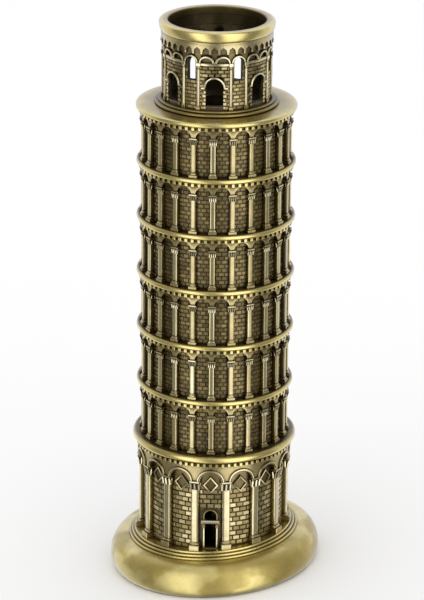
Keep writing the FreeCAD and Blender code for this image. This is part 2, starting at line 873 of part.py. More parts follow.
def make_corbel_ring():
    """A band of small pointed arches on corbels, under a moulding."""
    body = new_body("corbel_ring")
    turned(
        body,
        "band",
        [
            ("rebate_radius + rebate_gap", "0"),
            ("corbel_face", "0"),
            ("corbel_face", "corbel_band"),
            ("corbel_moulding", "corbel_band"),
            ("corbel_moulding", "corbel_height"),
            ("rebate_radius", "corbel_height"),
            ("rebate_radius", "corbel_height + rebate_height"),
            ("bell_bore", "corbel_height + rebate_height"),
            ("bell_bore", "rebate_height + rebate_clearance"),
            ("rebate_radius + rebate_gap", "rebate_height + rebate_clearance"),
        ],
        {3: "corbel_round"},
    )
    doc.recompute()
    niche = facing_sketch(body, "niche_outline", "corbel_core")
    half = "corbel_face * pi / corbels * corbel_niche_share"
    outline(
        niche,
        [
            (f"0 - {half}", "0 - niche_overlap"),
            (f"0 + {half}", "0 - niche_overlap"),
            (f"0 + {half}", "corbel_band / 2"),
            ("0", "corbel_band - corbel_niche_point"),
            (f"0 - {half}", "corbel_band / 2"),
        ],
    )
    arch = pocket(body, niche, "niche", "corbel_face - corbel_core + cut_margin")
    around(body, [arch], "niches", "corbels")
    stand_leaning(body, CORBEL_LEVEL)


def make_crown_rim():
    """The thick smooth rim round the open top, widest near its upper edge."""
    body = new_body("crown_rim")
    turned(
        body,
        "rim",
        [
            ("rebate_radius + rebate_gap", "0"),
            ("rim_foot_radius", "0"),
            ("rim_radius", "rim_height - rim_lip"),
            ("rim_radius - rim_lip", "rim_height"),
            ("bell_bore + rim_inner_round", "rim_height"),
            ("bell_bore", "rim_height - rim_inner_round"),
            ("bell_bore", "rebate_height + rebate_clearance"),
            ("rebate_radius + rebate_gap", "rebate_height + rebate_clearance"),
        ],
        {1: "rim_swell", 2: "rim_lip", 4: "rim_inner_round"},
    )
    stand_leaning(body, RIM_LEVEL)


# ---------------------------------------------------------------- fixings


def make_tie_rod():
    body = new_body("tie_rod")
    length = f"{WELL_LEVEL} + rod_above + rod_below"
    turned(
        body,
        "rod",
        [
            ("0", "0"),
            ("rod_radius - rod_chamfer", "0"),
            ("rod_radius", "rod_chamfer"),
            ("rod_radius", f"{length} - rod_chamfer"),
            ("rod_radius - rod_chamfer", length),
            ("0", length),
        ],
    )
    stand_leaning(body, "0 - rod_below")


def make_washer(label, level):
    body = new_body(label)
    turned(
        body,
        "washer",
        [
            ("rod_radius + washer_gap", "0"),
            ("washer_radius", "0"),
            ("washer_radius", "washer_thick"),
            ("rod_radius + washer_gap", "washer_thick"),
        ],
    )
    stand_leaning(body, level)


def hexagon(body, height):
    """A six-sided block, with its flats at half of the key size."""
    sketch = new_sketch(body, "hexagon", "XY_Plane")
    corners = []
    for index in range(6):
        turn = math.radians(60 * index)
        across = f"0 + nut_across_flats / sqrt(3) * {math.cos(turn):.6f}"
        upright = f"0 + nut_across_flats / sqrt(3) * {math.sin(turn):.6f}" if index % 3 else "0"
        corners.append((across, upright))
    outline(sketch, corners)
    return pad(body, sketch, "nut", height)


def nut_bore(body, depth):
    """A plain bore up from the underside, standing in for the thread."""
    sketch = new_sketch(body, "bore", "XY_Plane")
    centred_circle(sketch, "rod_radius + thread_gap")
    pocket(body, sketch, "thread", depth)


def make_nuts():
    base_nut = new_body("base_nut")
    hexagon(base_nut, "nut_height")
    doc.recompute()
    nut_bore(base_nut, "nut_height + cut_margin")
    stand_leaning(base_nut, "0 - nut_seat - washer_thick - nut_height")
    dome_nut = new_body("dome_nut")
    hexagon(dome_nut, "nut_height")
    radius = "( nut_across_flats / 2 - dome_inset )"
    turned(
        dome_nut,
        "dome",
        [
            ("0", "nut_height - dome_lap"),
            (radius, "nut_height - dome_lap"),
            (radius, "nut_height"),
            (f"{radius} * dome_flat", "nut_height + dome_height"),
            ("0", "nut_height + dome_height"),
        ],
        {2: "dome_round"},
    )
    doc.recompute()
    nut_bore(dome_nut, "rod_above")
    stand_leaning(dome_nut, f"{WELL_LEVEL} + washer_thick")


def make_belfry_screws():
    """Three screws up through the terrace into the bell foot, drawn as one group of solids."""
    level = size(BELL_FOOT_LEVEL)
    lean = Placement(Vector(0, 0, size("base_top")), Rotation(Vector(0, 1, 0), size("lean")))
    head_radius = size("screw_head_radius")
    head_height = size("screw_head_height")
    shank_radius = size("screw_radius")
    underside = level - size("terrace_height")
    tip = level + size("screw_depth") - size("screw_clearance")
    socket_radius = size("screw_socket")
    socket = Part.makeCylinder(socket_radius, head_height / 2, Vector(0, 0, underside - head_height))
    solids = []
    for index in range(int(size("screws"))):
        head = Part.makeCylinder(head_radius, head_height, Vector(0, 0, underside - head_height))
        shank = Part.makeCylinder(shank_radius, tip - underside, Vector(0, 0, underside))
        screw = head.cut(socket).fuse(shank).removeSplitter()
        screw.translate(Vector(0, size("screw_ring"), 0))
        screw.rotate(Vector(0, 0, 0), Vector(0, 0, 1), index * 360.0 / size("screws"))
        solids.append(screw.Solids[0])
    group = doc.addObject("Part::Feature", "belfry_screws")
    group.Label = "belfry_screws"
    group.Shape = Part.makeCompound(solids)
    group.Placement = lean
    pieces.append(group)


# ---------------------------------------------------------------- whole model


def make_model():
    make_felt_pad()
    make_base_disc()
    make_plinth_ring()
    make_ground_storey()
    ground_level = "ground_top + ground_dentil_height"
    make_cornice(
        "ground_cornice",
        ground_level,
        "ground_ring_radius",
        "ground_ring_height",
        "ground_dentil_core",
        "ground_dentil_face",
        "ground_dentil_height",
        "ground_dentils",
    )
    for storey in range(1, GALLERIES + 1):
        make_gallery(storey)
        top_storey = storey == GALLERIES
        make_cornice(
            "terrace_deck" if top_storey else f"cornice_{storey}",
            cornice_level(storey),
            "terrace_radius" if top_storey else "ring_radius",
            "terrace_height" if top_storey else "ring_height",
            "dentil_core",
            "dentil_face",
            "dentil_height",
            "dentils",
            closed=top_storey,
        )
    make_bell_foot()
    make_bell_chamber()
    make_corbel_ring()
    make_crown_rim()
    make_tie_rod()
    make_washer("base_washer", "0 - nut_seat - washer_thick")
    make_washer("top_washer", WELL_LEVEL)
    make_nuts()
    make_belfry_screws()
    doc.recompute()


def check_model():
    """Stops if a feature failed, a cut took nothing away, or a piece isn't a sound solid."""
    failed = [item for item in doc.Objects if "Invalid" in item.State or "Error" in item.State]
    if failed:
        raise RuntimeError(f"these failed: {[(item.Name, item.State) for item in failed]}")
    for cut in cuts:
        before = cut.BaseFeature.Shape.Volume
        if not cut.Shape.Volume < before - 1e-3:
            raise RuntimeError(f"{cut.Label} in {cut.getParent().Label} cut nothing")
    for piece in pieces:
        shape = piece.Shape
        if shape.isNull() or not shape.isValid():
            raise RuntimeError(f"{piece.Label} has no sound shape")


def write_model():
    os.makedirs("parts", exist_ok=True)
    for piece in pieces:
        piece.Shape.exportStep(os.path.join("parts", f"{piece.Label}.step"))
        print(f"{piece.Label}: {len(piece.Shape.Solids)} solid(s), {piece.Shape.Volume / 1000:.2f} cm3")


make_model()
check_model()
write_model()
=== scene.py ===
import json
import math
import random

import bmesh
import bpy
import numpy as np
from mathutils import Matrix, Vector

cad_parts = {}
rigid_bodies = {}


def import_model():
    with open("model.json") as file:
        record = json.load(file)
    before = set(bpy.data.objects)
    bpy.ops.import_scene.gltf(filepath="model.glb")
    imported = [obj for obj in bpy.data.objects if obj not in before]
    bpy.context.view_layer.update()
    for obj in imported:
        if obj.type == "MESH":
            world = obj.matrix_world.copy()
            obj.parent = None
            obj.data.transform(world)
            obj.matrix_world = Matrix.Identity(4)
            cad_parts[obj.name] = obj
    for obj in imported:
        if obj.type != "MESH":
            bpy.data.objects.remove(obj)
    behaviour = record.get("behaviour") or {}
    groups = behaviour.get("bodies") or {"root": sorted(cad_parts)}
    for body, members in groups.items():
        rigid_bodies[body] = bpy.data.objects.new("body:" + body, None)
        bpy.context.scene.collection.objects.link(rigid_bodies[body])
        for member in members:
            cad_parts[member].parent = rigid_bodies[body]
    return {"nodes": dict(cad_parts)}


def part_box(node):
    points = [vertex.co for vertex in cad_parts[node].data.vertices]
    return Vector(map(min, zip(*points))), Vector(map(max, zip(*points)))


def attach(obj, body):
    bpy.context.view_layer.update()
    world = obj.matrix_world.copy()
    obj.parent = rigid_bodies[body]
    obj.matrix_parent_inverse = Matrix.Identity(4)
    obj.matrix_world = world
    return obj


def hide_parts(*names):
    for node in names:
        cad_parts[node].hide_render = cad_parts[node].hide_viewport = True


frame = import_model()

# A brass desk model of a leaning round bell tower. Lengths below are millimetres, and MM turns them into
# metres when a mesh is made. The tower's pieces are built upright round their own axis, with the door
# towards -Y, and the lean read from the frame then puts them in place. Every point also has a polish: 0 is
# a blackened recess and 1 is an edge rubbed bright.

MM = 0.001
FULL_TURN = 2 * math.pi
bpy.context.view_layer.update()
rng = random.Random(11)

# Radii that the CAD nodes share
TOWER_BORE = 28.0
SPIGOT_RADIUS = 27.9
SPIGOT_BORE = 26.6
SPIGOT_HEIGHT = 1.2
BELL_BORE = 20.8
REBATE_RADIUS = 21.75
REBATE_HEIGHT = 1.0
RECESS_RADIUS = 21.8
RECESS_HEIGHT = 1.1
BELL_WALL = 22.9
CORNICE_CORE = 32.0
CORNICE_DROP = 1.7
CORNICE_TEETH = 72
BED = 0.25  # how far the surface that bricks are laid on lies behind a wall's nominal face
ABACUS_HEIGHT = 0.95
STEP_WIDTH = 1e-4  # keeps the two corners of an upright step in an arcade apart, in radians

# -------- places read from the frame


def box_centre(node):
    low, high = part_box(node)
    return (low + high) / 2


BASE_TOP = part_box("base_disc")[1].z / MM
AXIS = (box_centre("cornice_5") - box_centre("cornice_1")).normalized()
ACROSS = Vector((AXIS.z, 0, -AXIS.x)).normalized()
LEAN = Matrix((ACROSS, (0, 1, 0), AXIS)).transposed().to_4x4()
TOWER = Matrix.Translation((0, 0, BASE_TOP)) @ LEAN
UPRIGHT = Matrix.Identity(4)
SLOPE = AXIS.x / AXIS.z


def extent(node):
    """Lowest and highest level along the tower's axis, and largest radius, of a node, in millimetres."""
    mesh = frame["nodes"][node].data
    points = np.empty(len(mesh.vertices) * 3)
    mesh.vertices.foreach_get("co", points)
    back = np.array(TOWER.inverted())
    local = points.reshape(-1, 3) / MM @ back[:3, :3].T + back[:3, 3]
    return local[:, 2].min(), local[:, 2].max(), np.hypot(local[:, 0], local[:, 1]).max()


def ring_box(node):
    """Lowest and highest level, and radius, of a level ring, in millimetres."""
    low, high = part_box(node)
    return low.z / MM, high.z / MM, (high.y - low.y) / 2 / MM


# -------- building meshes


class Piece:
    """Gathers the vertices, faces and polish of one piece."""

    def __init__(self):
        self.points = []
        self.faces = []
        self.polish = []
        self.smooth = []
        self.count = 0

    def add(self, points, faces, polish, smooth=False):
        points = np.asarray(points, float)
        self.points.append(points)
        self.faces += [[corner + self.count for corner in face] for face in faces]
        self.polish.append(np.broadcast_to(np.asarray(polish, float), len(points)).copy())
        self.smooth += [smooth] * len(faces)
        self.count += len(points)

    def merge(self, other):
        self.points += other.points
        self.polish += other.polish
        self.faces += [[corner + self.count for corner in face] for face in other.faces]
        self.smooth += other.smooth
        self.count += other.count

    def turned(self, angle, wear=1.0):
        """A copy turned anticlockwise, seen from above, and rubbed less if wear is under 1."""
        copy = Piece()
        cosine, sine = math.cos(angle), math.sin(angle)
        turn = np.array([[cosine, sine, 0], [-sine, cosine, 0], [0, 0, 1]])
        copy.points = [points @ turn for points in self.points]
        copy.polish = [polish * wear for polish in self.polish]
        copy.faces = self.faces
        copy.smooth = self.smooth
        copy.count = self.count
        return copy

    def repeat(self, other, count, start=0.0, uneven=0.0):
        """Copies evenly spaced round the tower. uneven is how much less rubbed some of them are."""
        for index in range(count):
            self.merge(other.turned(start + FULL_TURN * index / count, 1 - rng.uniform(0, uneven)))


def strip_faces(rows, ring, closed=False):
    """Quads between rows of points. closed joins the last row to the first; otherwise both are capped."""
    faces = []
    for row in range(rows if closed else rows - 1):
        here, ahead = row * ring, (row + 1) % rows * ring
        for index in range(ring):
            after = (index + 1) % ring
            faces.append((here + index, ahead + index, ahead + after, here + after))
    if not closed:
        faces.append(tuple(range(ring)))
        faces.append(tuple((rows - 1) * ring + index for index in reversed(range(ring))))
    return faces


def face_on(points, radius, angle=0.0):
    """Stands (along the wall, out of it, up) points against a flat face at an angle from the door."""
    points = np.asarray(points, float)
    out = radius + points[:, 1]
    sine, cosine = math.sin(angle), math.cos(angle)
    x = out * sine + points[:, 0] * cosine
    y = points[:, 0] * sine - out * cosine
    return np.stack([x, y, points[:, 2]], 1)


def wrap_on(points, radius, angle=0.0):
    """Wraps (along the wall, out of it, up) points round the wall."""
    points = np.asarray(points, float)
    turn = angle + points[:, 0] / radius
    out = radius + points[:, 1]
    return np.stack([out * np.sin(turn), -out * np.cos(turn), points[:, 2]], 1)


def on_axis(points):
    """Stands points whose second value is a radius against a flat face."""
    return face_on(points, 0.0)


def wrapper(radius):
    """A function that wraps points whose second value is a radius round a wall."""
    return lambda points: wrap_on(np.asarray(points, float) - np.array([0, radius, 0]), radius)


def lathe(piece, outline, segments=192, floor=None):
    """A ring turned from a closed outline of (radius, level, polish). floor gives levels that are None."""
    points = []
    for turn in np.arange(segments) * FULL_TURN / segments:
        for radius, level, worn in outline:
            height = floor(turn, radius) if level is None else level
            points.append((radius * math.sin(turn), -radius * math.cos(turn), height))
    polish = [worn for radius, level, worn in outline] * segments
    piece.add(points, strip_faces(segments, len(outline), closed=True), polish, True)


def arc(centre, radius_x, radius_z, start, finish, polish):
    """Part of an outline on an ellipse, in degrees from +radius towards +level, a point for each polish."""
    turns = np.radians(np.linspace(start, finish, len(polish)))
    return [
        (centre[0] + radius_x * math.cos(turn), centre[1] + radius_z * math.sin(turn), worn)
        for turn, worn in zip(turns, polish)
    ]


def block(piece, x, y, z, place, bevel, polish):
    """A block with bevelled front edges. x, y and z are (low, high); place stands or wraps its points."""
    corners = []
    for depth, inset in ((y[0], 0.0), (y[1] - bevel, 0.0), (y[1], bevel)):
        left, right = x[0] + inset, x[1] - inset
        foot, head = z[0] + inset, z[1] - inset
        corners += [(left, depth, foot), (right, depth, foot), (right, depth, head), (left, depth, head)]
    dull, bright = polish
    worn = [dull] * 4 + [(dull + bright) / 2] * 4 + [bright] * 4
    piece.add(place(corners), strip_faces(3, 4), worn)


def prism(piece, outline, inner, outer, angle, polish=0.02):
    """A cutter of (x, z) outline through a wall. polish is for the faces that it leaves."""
    points = [(x, depth, z) for depth in (inner, outer) for x, z in outline]
    piece.add(face_on(points, 0.0, angle), strip_faces(2, len(outline)), polish)


def arched(half, foot, spring, steps=14):
    """The (x, z) outline of an opening with a half-round head."""
    turns = np.linspace(0, math.pi, steps)
    head = [(half * math.cos(turn), spring + half * math.sin(turn)) for turn in turns]
    return [(-half, foot), (half, foot)] + head


def arch_path(middle, half_span, rise, spring, steps):
    """(x, z) points over an arch, from left to right."""
    turns = np.linspace(0.0, math.pi, steps)
    return [(middle - half_span * math.cos(turn), spring + rise * math.sin(turn)) for turn in turns]


def unit(steps):
    """Steps along a path, each made 1 long."""
    return steps / np.linalg.norm(steps, axis=1, keepdims=True)


def sweep(piece, path, section, place, closed=False, smooth=True):
    """Sweeps a section of (across the path, out of the wall, polish) along a path of (x, z) points."""
    path = np.asarray(path, float)
    inward = unit(path - np.roll(path, 1, 0))
    outward = unit(np.roll(path, -1, 0) - path)
    if not closed:
        inward[0] = outward[0]
        outward[-1] = inward[-1]
    tangent = unit(inward + outward)
    sharpest_mitre = 0.4
    mitre = 1 / np.maximum((tangent * outward).sum(1), sharpest_mitre)
    normal = np.stack([-tangent[:, 1], tangent[:, 0]], 1) * mitre[:, None]
    points = []
    for spot, across in zip(path, normal):
        for offset, depth, worn in section:
            points.append((spot[0] + across[0] * offset, depth, spot[1] + across[1] * offset))
    polish = [worn for offset, depth, worn in section] * len(path)
    piece.add(place(points), strip_faces(len(path), len(section), closed), polish, smooth)


def roll_section(half_width, root, face, bright=1.0):
    """A rounded moulding section."""
    half = [(1.0, 0.0, 0.1), (1.0, 0.55, 0.5), (0.6, 0.92, 0.9), (0.0, 1.0, 1.0)]
    shape = [(-across, rise, worn) for across, rise, worn in half] + half[-2::-1]
    return [(half_width * side, root + (face - root) * rise, worn * bright) for side, rise, worn in shape]


def turned_post(piece, outline, radius, angle, segments, squareness=2.0):
    """A closed post from (half width, level, polish). A squareness over 2 flattens its front and sides."""
    turns = np.arange(segments) * FULL_TURN / segments
    sides = np.abs([np.sin(turns), np.cos(turns)]) ** squareness
    round_off = sides.sum(0) ** (-1 / squareness)
    points = []
    polish = []
    for reach, level, worn in outline:
        for turn, grow in zip(turns, round_off):
            points.append((reach * grow * math.sin(turn), reach * grow * math.cos(turn), level))
            facing = min(1.0, 1.35 * max(0.0, math.cos(turn)))
            polish.append(worn * (0.4 + 0.6 * facing))
    piece.add(face_on(points, radius, angle), strip_faces(len(outline), segments), polish, True)


def leaf(piece, radius, angle, spot, turn, low, high, width):
    """One upright leaf of a capital, at a spot (x, y) on the post: it swells, and curls out at its tip."""
    rows, columns = 7, 8
    curl = 0.6
    thickness = 0.42
    cosine, sine = math.cos(turn), math.sin(turn)
    points = []
    polish = []
    for row in range(rows):
        share = row / (rows - 1)
        girth = width * math.sin(math.pi * (0.16 + 0.72 * share)) ** 0.5
        for column in range(columns):
            around = FULL_TURN * column / columns
            across = girth * 0.5 * math.sin(around)
            out = curl * share**2.2 + girth * thickness * math.cos(around)
            x = spot[0] + across * cosine + out * sine
            y = spot[1] + out * cosine - across * sine
            points.append((x, y, low + (high - low) * share))
            polish.append(0.4 + 0.9 * max(0.0, math.cos(around)) * (0.85 + 0.15 * share))
    piece.add(face_on(points, radius, angle), strip_faces(rows, columns), polish, True)


def arcade(piece, wall, face, edge, samples, top, polish):
    """A band whose lower edge follows arches. samples are (angle, level) points of that edge."""
    points = []
    for angle, foot in samples:
        section = ((wall, foot), (face - edge, foot), (face, foot + edge), (face, top), (wall, top))
        points += [(out * math.sin(angle), -out * math.cos(angle), height) for out, height in section]
    piece.add(points, strip_faces(len(samples), len(polish), closed=True), np.tile(polish, len(samples)))


def bay_samples(bays, start, edges):
    """Repeats one bay's (angle from its middle, lower level) edge all round, as (angle, level) pairs."""
    middles = [start + FULL_TURN * bay / bays for bay in range(bays)]
    return [(middle + angle, level) for middle in middles for angle, level in edges]


def arch_edges(half_bay, half_width, radius, foot, spring, rise, steps=12):
    """The lower edge of one bay of an arcade: level on the piers, and an arch between them."""
    pier = half_width / radius + STEP_WIDTH
    edges = [(-half_bay, foot), (-pier, foot)]
    for step in range(steps + 1):
        turn = math.pi * (1 - step / steps)
        edges.append((half_width * math.cos(turn) / radius, spring + rise * math.sin(turn)))
    return edges + [(pier, foot)]


def brickwork(piece, radius, levels, rows, per_row, keep, depth, joint, polish):
    """Courses of uneven bricks. keep(angle, low, high) gives a brick's lowest level, or None."""
    bottom, top = levels
    pitch = FULL_TURN / per_row
    course = (top - bottom) / rows
    root = -0.12
    bevel = 0.16
    for row in range(rows):
        low = bottom + row * course + joint / 2
        high = low + course - joint
        for index in range(per_row):
            angle = (index + 0.5 * (row % 2)) * pitch
            start = keep(angle, low, high)
            grow = rng.uniform(-0.06, 0.10)
            lift = rng.uniform(-0.09, 0.09)
            skew = rng.uniform(-0.08, 0.08)
            wear = rng.uniform(0.5, 1.0)
            if start is None:
                continue
            half = pitch * radius / 2 - joint / 2 + grow
            level = (max(low, start) + skew * 0.5, high + skew * 0.5)
            if level[1] - level[0] < joint:
                continue

            def place(points):
                return wrap_on(points, radius, angle)

            span = (-half + skew, half + skew)
            worn = (polish[0], polish[1] * wear)
            block(piece, span, (root, depth + lift), level, place, bevel, worn)


def make_mesh(name, piece, matrix):
    """Turns a gathered piece into a Blender object in metres, in the row's frame."""
    mesh = bpy.data.meshes.new(name)
    points = np.concatenate(piece.points)
    spin = np.array(matrix)
    world = (points @ spin[:3, :3].T + spin[:3, 3]) * MM
    mesh.from_pydata(world.tolist(), [], piece.faces)
    mesh.polygons.foreach_set("use_smooth", piece.smooth)
    attribute = mesh.attributes.new("polish", "FLOAT", "POINT")
    attribute.data.foreach_set("value", np.concatenate(piece.polish).astype(np.float32))
    shell = bmesh.new()
    shell.from_mesh(mesh)
    bmesh.ops.recalc_face_normals(shell, faces=shell.faces)
    shell.to_mesh(mesh)
    shell.free()
    mesh.set_sharp_from_angle(angle=math.radians(35.0))
    mesh.update()
    item = bpy.data.objects.new(name, mesh)
    bpy.context.scene.collection.objects.link(item)
    return item


def finish_piece(name, piece, node, material, matrix=TOWER, core=None):
    """Makes a piece that stands for a frame node. core is a made mesh that belongs to it too."""
    item = make_mesh(name, piece, matrix)
    item.data.materials.append(material)
    if core:
        core.data.materials.clear()
        core.data.materials.append(material)
        join(item, core)
    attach(item, "root")
    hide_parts(node)
    return item


def join(item, other):
    """Adds another object's mesh to a piece."""
    for made in bpy.context.scene.objects:
        made.select_set(made in (item, other))
    bpy.context.view_layer.objects.active = item
    bpy.ops.object.join()


def cut_openings(item, cutters):
    """Cuts prisms out of a made mesh."""
    cutter = make_mesh("opening_cutter", cutters, TOWER)
    hole = item.modifiers.new("openings", "BOOLEAN")
    hole.operation = "DIFFERENCE"
    hole.solver = "EXACT"
    hole.object = cutter
    graph = bpy.context.evaluated_depsgraph_get()
    mesh = bpy.data.meshes.new_from_object(item.evaluated_get(graph))
    item.modifiers.clear()
    old = item.data
    item.data = mesh
    bpy.data.meshes.remove(old)
    bpy.data.objects.remove(cutter)


# -------- materials


def link(tree, value, socket):
    """Sets a socket to a number or a tuple, or links another socket to it."""
    if isinstance(value, (int, float, tuple)):
        socket.default_value = value
    else:
        tree.links.new(value, socket)


def ramp(tree, source, stops):
    made = tree.nodes.new("ShaderNodeValToRGB")
    stop_list = made.color_ramp.elements
    while len(stop_list) < len(stops):
        stop_list.new(0.5)
    for element, (place, colour) in zip(stop_list, stops):
        element.position = place
        element.color = (*colour, 1)
    tree.links.new(source, made.inputs[0])
    return made.outputs[0]


def math_node(tree, operation, first, second, clamp=False):
    made = tree.nodes.new("ShaderNodeMath")
    made.operation = operation
    made.use_clamp = clamp
    link(tree, first, made.inputs[0])
    link(tree, second, made.inputs[1])
    return made.outputs[0]


def vector_node(tree, operation, first, second=None):
    made = tree.nodes.new("ShaderNodeVectorMath")
    made.operation = operation
    link(tree, first, made.inputs[0])
    if second is not None:
        link(tree, second, made.inputs["Scale" if operation == "SCALE" else 1])
    return made.outputs["Value" if operation == "DOT_PRODUCT" else "Vector"]


def soft_step(tree, value, low, high, reach=1.0):
    """A soft change from 0 to reach as a value goes from low to high."""
    made = tree.nodes.new("ShaderNodeMapRange")
    made.interpolation_type = "SMOOTHSTEP"
    made.inputs["From Min"].default_value = low
    made.inputs["From Max"].default_value = high
    made.inputs["To Max"].default_value = reach
    tree.links.new(value, made.inputs["Value"])
    return made.outputs["Result"]


def noise(tree, scale, detail, stretch=(1, 1, 1)):
    """Procedural noise in metres, stretched along an axis."""
    place = tree.nodes.new("ShaderNodeTexCoord")
    mapping = tree.nodes.new("ShaderNodeMapping")
    mapping.inputs["Scale"].default_value = stretch
    tree.links.new(place.outputs["Object"], mapping.inputs["Vector"])
    made = tree.nodes.new("ShaderNodeTexNoise")
    made.inputs["Scale"].default_value = scale
    made.inputs["Detail"].default_value = detail
    tree.links.new(mapping.outputs["Vector"], made.inputs["Vector"])
    return made.outputs["Fac"]


def new_material(name, metallic):
    """A material and its shader."""
    material = bpy.data.materials.new(name)
    material.use_nodes = True
    shader = material.node_tree.nodes["Principled BSDF"]
    shader.inputs["Metallic"].default_value = metallic
    return material, shader


def add_bump(tree, shader, height, strength):
    bump = tree.nodes.new("ShaderNodeBump")
    bump.inputs["Strength"].default_value = strength
    bump.inputs["Distance"].default_value = 0.1 * MM
    tree.links.new(height, bump.inputs["Height"])
    tree.links.new(bump.outputs["Normal"], shader.inputs["Normal"])


# Brass colours, from a blackened recess to a rubbed edge
PALE_PATINA = [
    (0.00, (0.034, 0.026, 0.012)),
    (0.22, (0.110, 0.082, 0.032)),
    (0.50, (0.290, 0.225, 0.085)),
    (0.78, (0.570, 0.490, 0.265)),
    (1.00, (0.800, 0.750, 0.560)),
]
GOLDEN_PATINA = [
    (0.00, (0.034, 0.026, 0.012)),
    (0.22, (0.105, 0.078, 0.028)),
    (0.50, (0.290, 0.222, 0.068)),
    (0.78, (0.560, 0.450, 0.140)),
    (1.00, (0.810, 0.700, 0.300)),
]


def antique_brass(
    name, patina, patina_and_shade_reach, patina_and_shade_strength, mottle, roughness, grain, streaks=False, patches=0.0
):
    """Cast brass, blackened and rubbed back: dark in the recesses, bright on what stands out. An ambient
    occlusion node also darkens the colour in hollows and creases, which is painted shade on top of the patina
    there.
    """
    material, shader = new_material(name, 1.0)
    tree = material.node_tree
    worn = tree.nodes.new("ShaderNodeAttribute")
    worn.attribute_name = "polish"
    # Painted shade: an ambient occlusion node darkens the colour in hollows and creases, where the patina
    # also lies
    cavity_shade = tree.nodes.new("ShaderNodeAmbientOcclusion")
    cavity_shade.samples = 6
    cavity_shade.inputs["Distance"].default_value = patina_and_shade_reach * MM
    open_air = math_node(tree, "POWER", cavity_shade.outputs["AO"], patina_and_shade_strength)
    # The polish, dimmed by the painted shade in hollows, picks the colour below
    polish_and_shade = math_node(tree, "MULTIPLY", worn.outputs["Fac"], open_air)
    clouds = math_node(tree, "SUBTRACT", noise(tree, 180.0, 4.0), 0.5)
    specks = math_node(tree, "SUBTRACT", noise(tree, 1400.0, 2.0), 0.5)
    varied = math_node(tree, "ADD", polish_and_shade, math_node(tree, "MULTIPLY", clouds, mottle))
    if patches:
        blotches = noise(tree, 38.0, 3.0, (1, 1, 1.6))
        varied = math_node(tree, "ADD", varied, soft_step(tree, blotches, 0.45, 0.56, -patches))
    speckle = math_node(tree, "MULTIPLY", specks, mottle * 0.6)
    varied = math_node(tree, "ADD", varied, speckle, clamp=True)
    tree.links.new(ramp(tree, varied, patina), shader.inputs["Base Color"])
    dull = math_node(tree, "MULTIPLY", math_node(tree, "SUBTRACT", 1.0, varied), 0.34)
    rough = math_node(tree, "ADD", dull, roughness)
    rough = math_node(tree, "ADD", rough, math_node(tree, "MULTIPLY", specks, 0.12), clamp=True)
    tree.links.new(rough, shader.inputs["Roughness"])
    waves = math_node(tree, "MULTIPLY", noise(tree, 120.0, 2.0), 2.0)
    relief = math_node(tree, "ADD", noise(tree, 900.0, 4.0), waves)
    if streaks:
        relief = math_node(tree, "ADD", relief, noise(tree, 60.0, 3.0, (1, 1, 60)))
    add_bump(tree, shader, relief, grain)
    shader.inputs["Coat Weight"].default_value = 0.6
    shader.inputs["Coat Roughness"].default_value = 0.25
    return material


def plain_finish(name, low, high, scale, roughness, metallic, grain):
    """A simple two-tone finish with a fine grain, for the fixings and the felt."""
    material, shader = new_material(name, metallic)
    tree = material.node_tree
    texture = noise(tree, scale, 4.0)
    tree.links.new(ramp(tree, texture, [(0.3, low), (0.7, high)]), shader.inputs["Base Color"])
    rough = math_node(tree, "ADD", math_node(tree, "MULTIPLY", texture, 0.2), roughness, clamp=True)
    tree.links.new(rough, shader.inputs["Roughness"])
    add_bump(tree, shader, texture, grain)
    return material


CAST = antique_brass("cast_brass", PALE_PATINA, 1.3, 0.8, mottle=0.3, roughness=0.2, grain=0.35)
SMOOTH = antique_brass("smooth_brass", GOLDEN_PATINA, 1.0, 0.6, 0.22, 0.26, 0.12, streaks=True)
FOOT = antique_brass("foot_brass", GOLDEN_PATINA, 1.0, 0.6, 0.24, 0.4, 0.15, streaks=True, patches=0.2)
STEEL = plain_finish("plated_steel", (0.42, 0.41, 0.38), (0.62, 0.61, 0.58), 900.0, 0.28, 1.0, 0.1)
FELT = plain_finish("felt", (0.012, 0.03, 0.018), (0.03, 0.06, 0.035), 2500.0, 0.85, 0.0, 0.9)

# -------- foot


def make_base():
    """The round foot: a rounded edge all round, and hollow underneath, round a boss for the rod."""
    bottom, _, widest = ring_box("base_disc")
    waist = bottom + 5.1
    shelf = widest - 7.4
    under = widest - 2.4
    rod_hole, boss, hollow, felt_recess = 3.2, 10.0, 36.0, 42.3
    boss_foot = 2.0
    felt_bed = bottom + 0.6
    ceiling = BASE_TOP - 5.5
    bright, raw = 0.96, 0.3
    outline = [(rod_hole, BASE_TOP, bright), (20.0, BASE_TOP, bright), (hollow, BASE_TOP, bright)]
    outline += arc((shelf, waist), widest - shelf, BASE_TOP - waist, 90, 0, [bright] * 16)
    outline += arc((under, waist), widest - under, waist - bottom, -8, -84, [bright] * 9)
    inside = [(under - 0.8, bottom), (felt_recess, bottom), (felt_recess, felt_bed), (hollow, felt_bed)]
    inside += [(hollow, ceiling), (boss, ceiling), (boss, boss_foot), (rod_hole, boss_foot)]
    outline += [(radius, level, raw) for radius, level in inside]
    piece = Piece()
    lathe(piece, outline, 256)
    finish_piece("base_casting", piece, "base_disc", FOOT, UPRIGHT)


def make_plinth():
    """Three square steps in towards the tower, each with a softened upper edge and a dark tread."""
    bottom, top, edge = ring_box("plinth_ring")
    bore = 27.6
    steps = 3
    rise = (top - bottom) / steps
    tread = 1.15
    undercut = 0.16
    softening = 0.3
    outline = [(bore, bottom, 0.2)]
    for step in range(steps):
        face = edge - step * tread
        foot = bottom + step * rise
        outline += [(face - undercut, foot, 0.15), (face - undercut, foot + undercut / 2, 0.2)]
        outline += [(face, foot + undercut, 0.85)]
        centre = (face - softening, foot + rise - softening)
        outline += arc(centre, softening, softening, 0, 90, [1.0, 1.0, 1.0, 0.95, 0.75])
    outline += [(bore, top, 0.3)]
    piece = Piece()
    lathe(piece, outline, 256)
    finish_piece("plinth_mouldings", piece, "plinth_ring", SMOOTH, UPRIGHT)


# -------- storeys


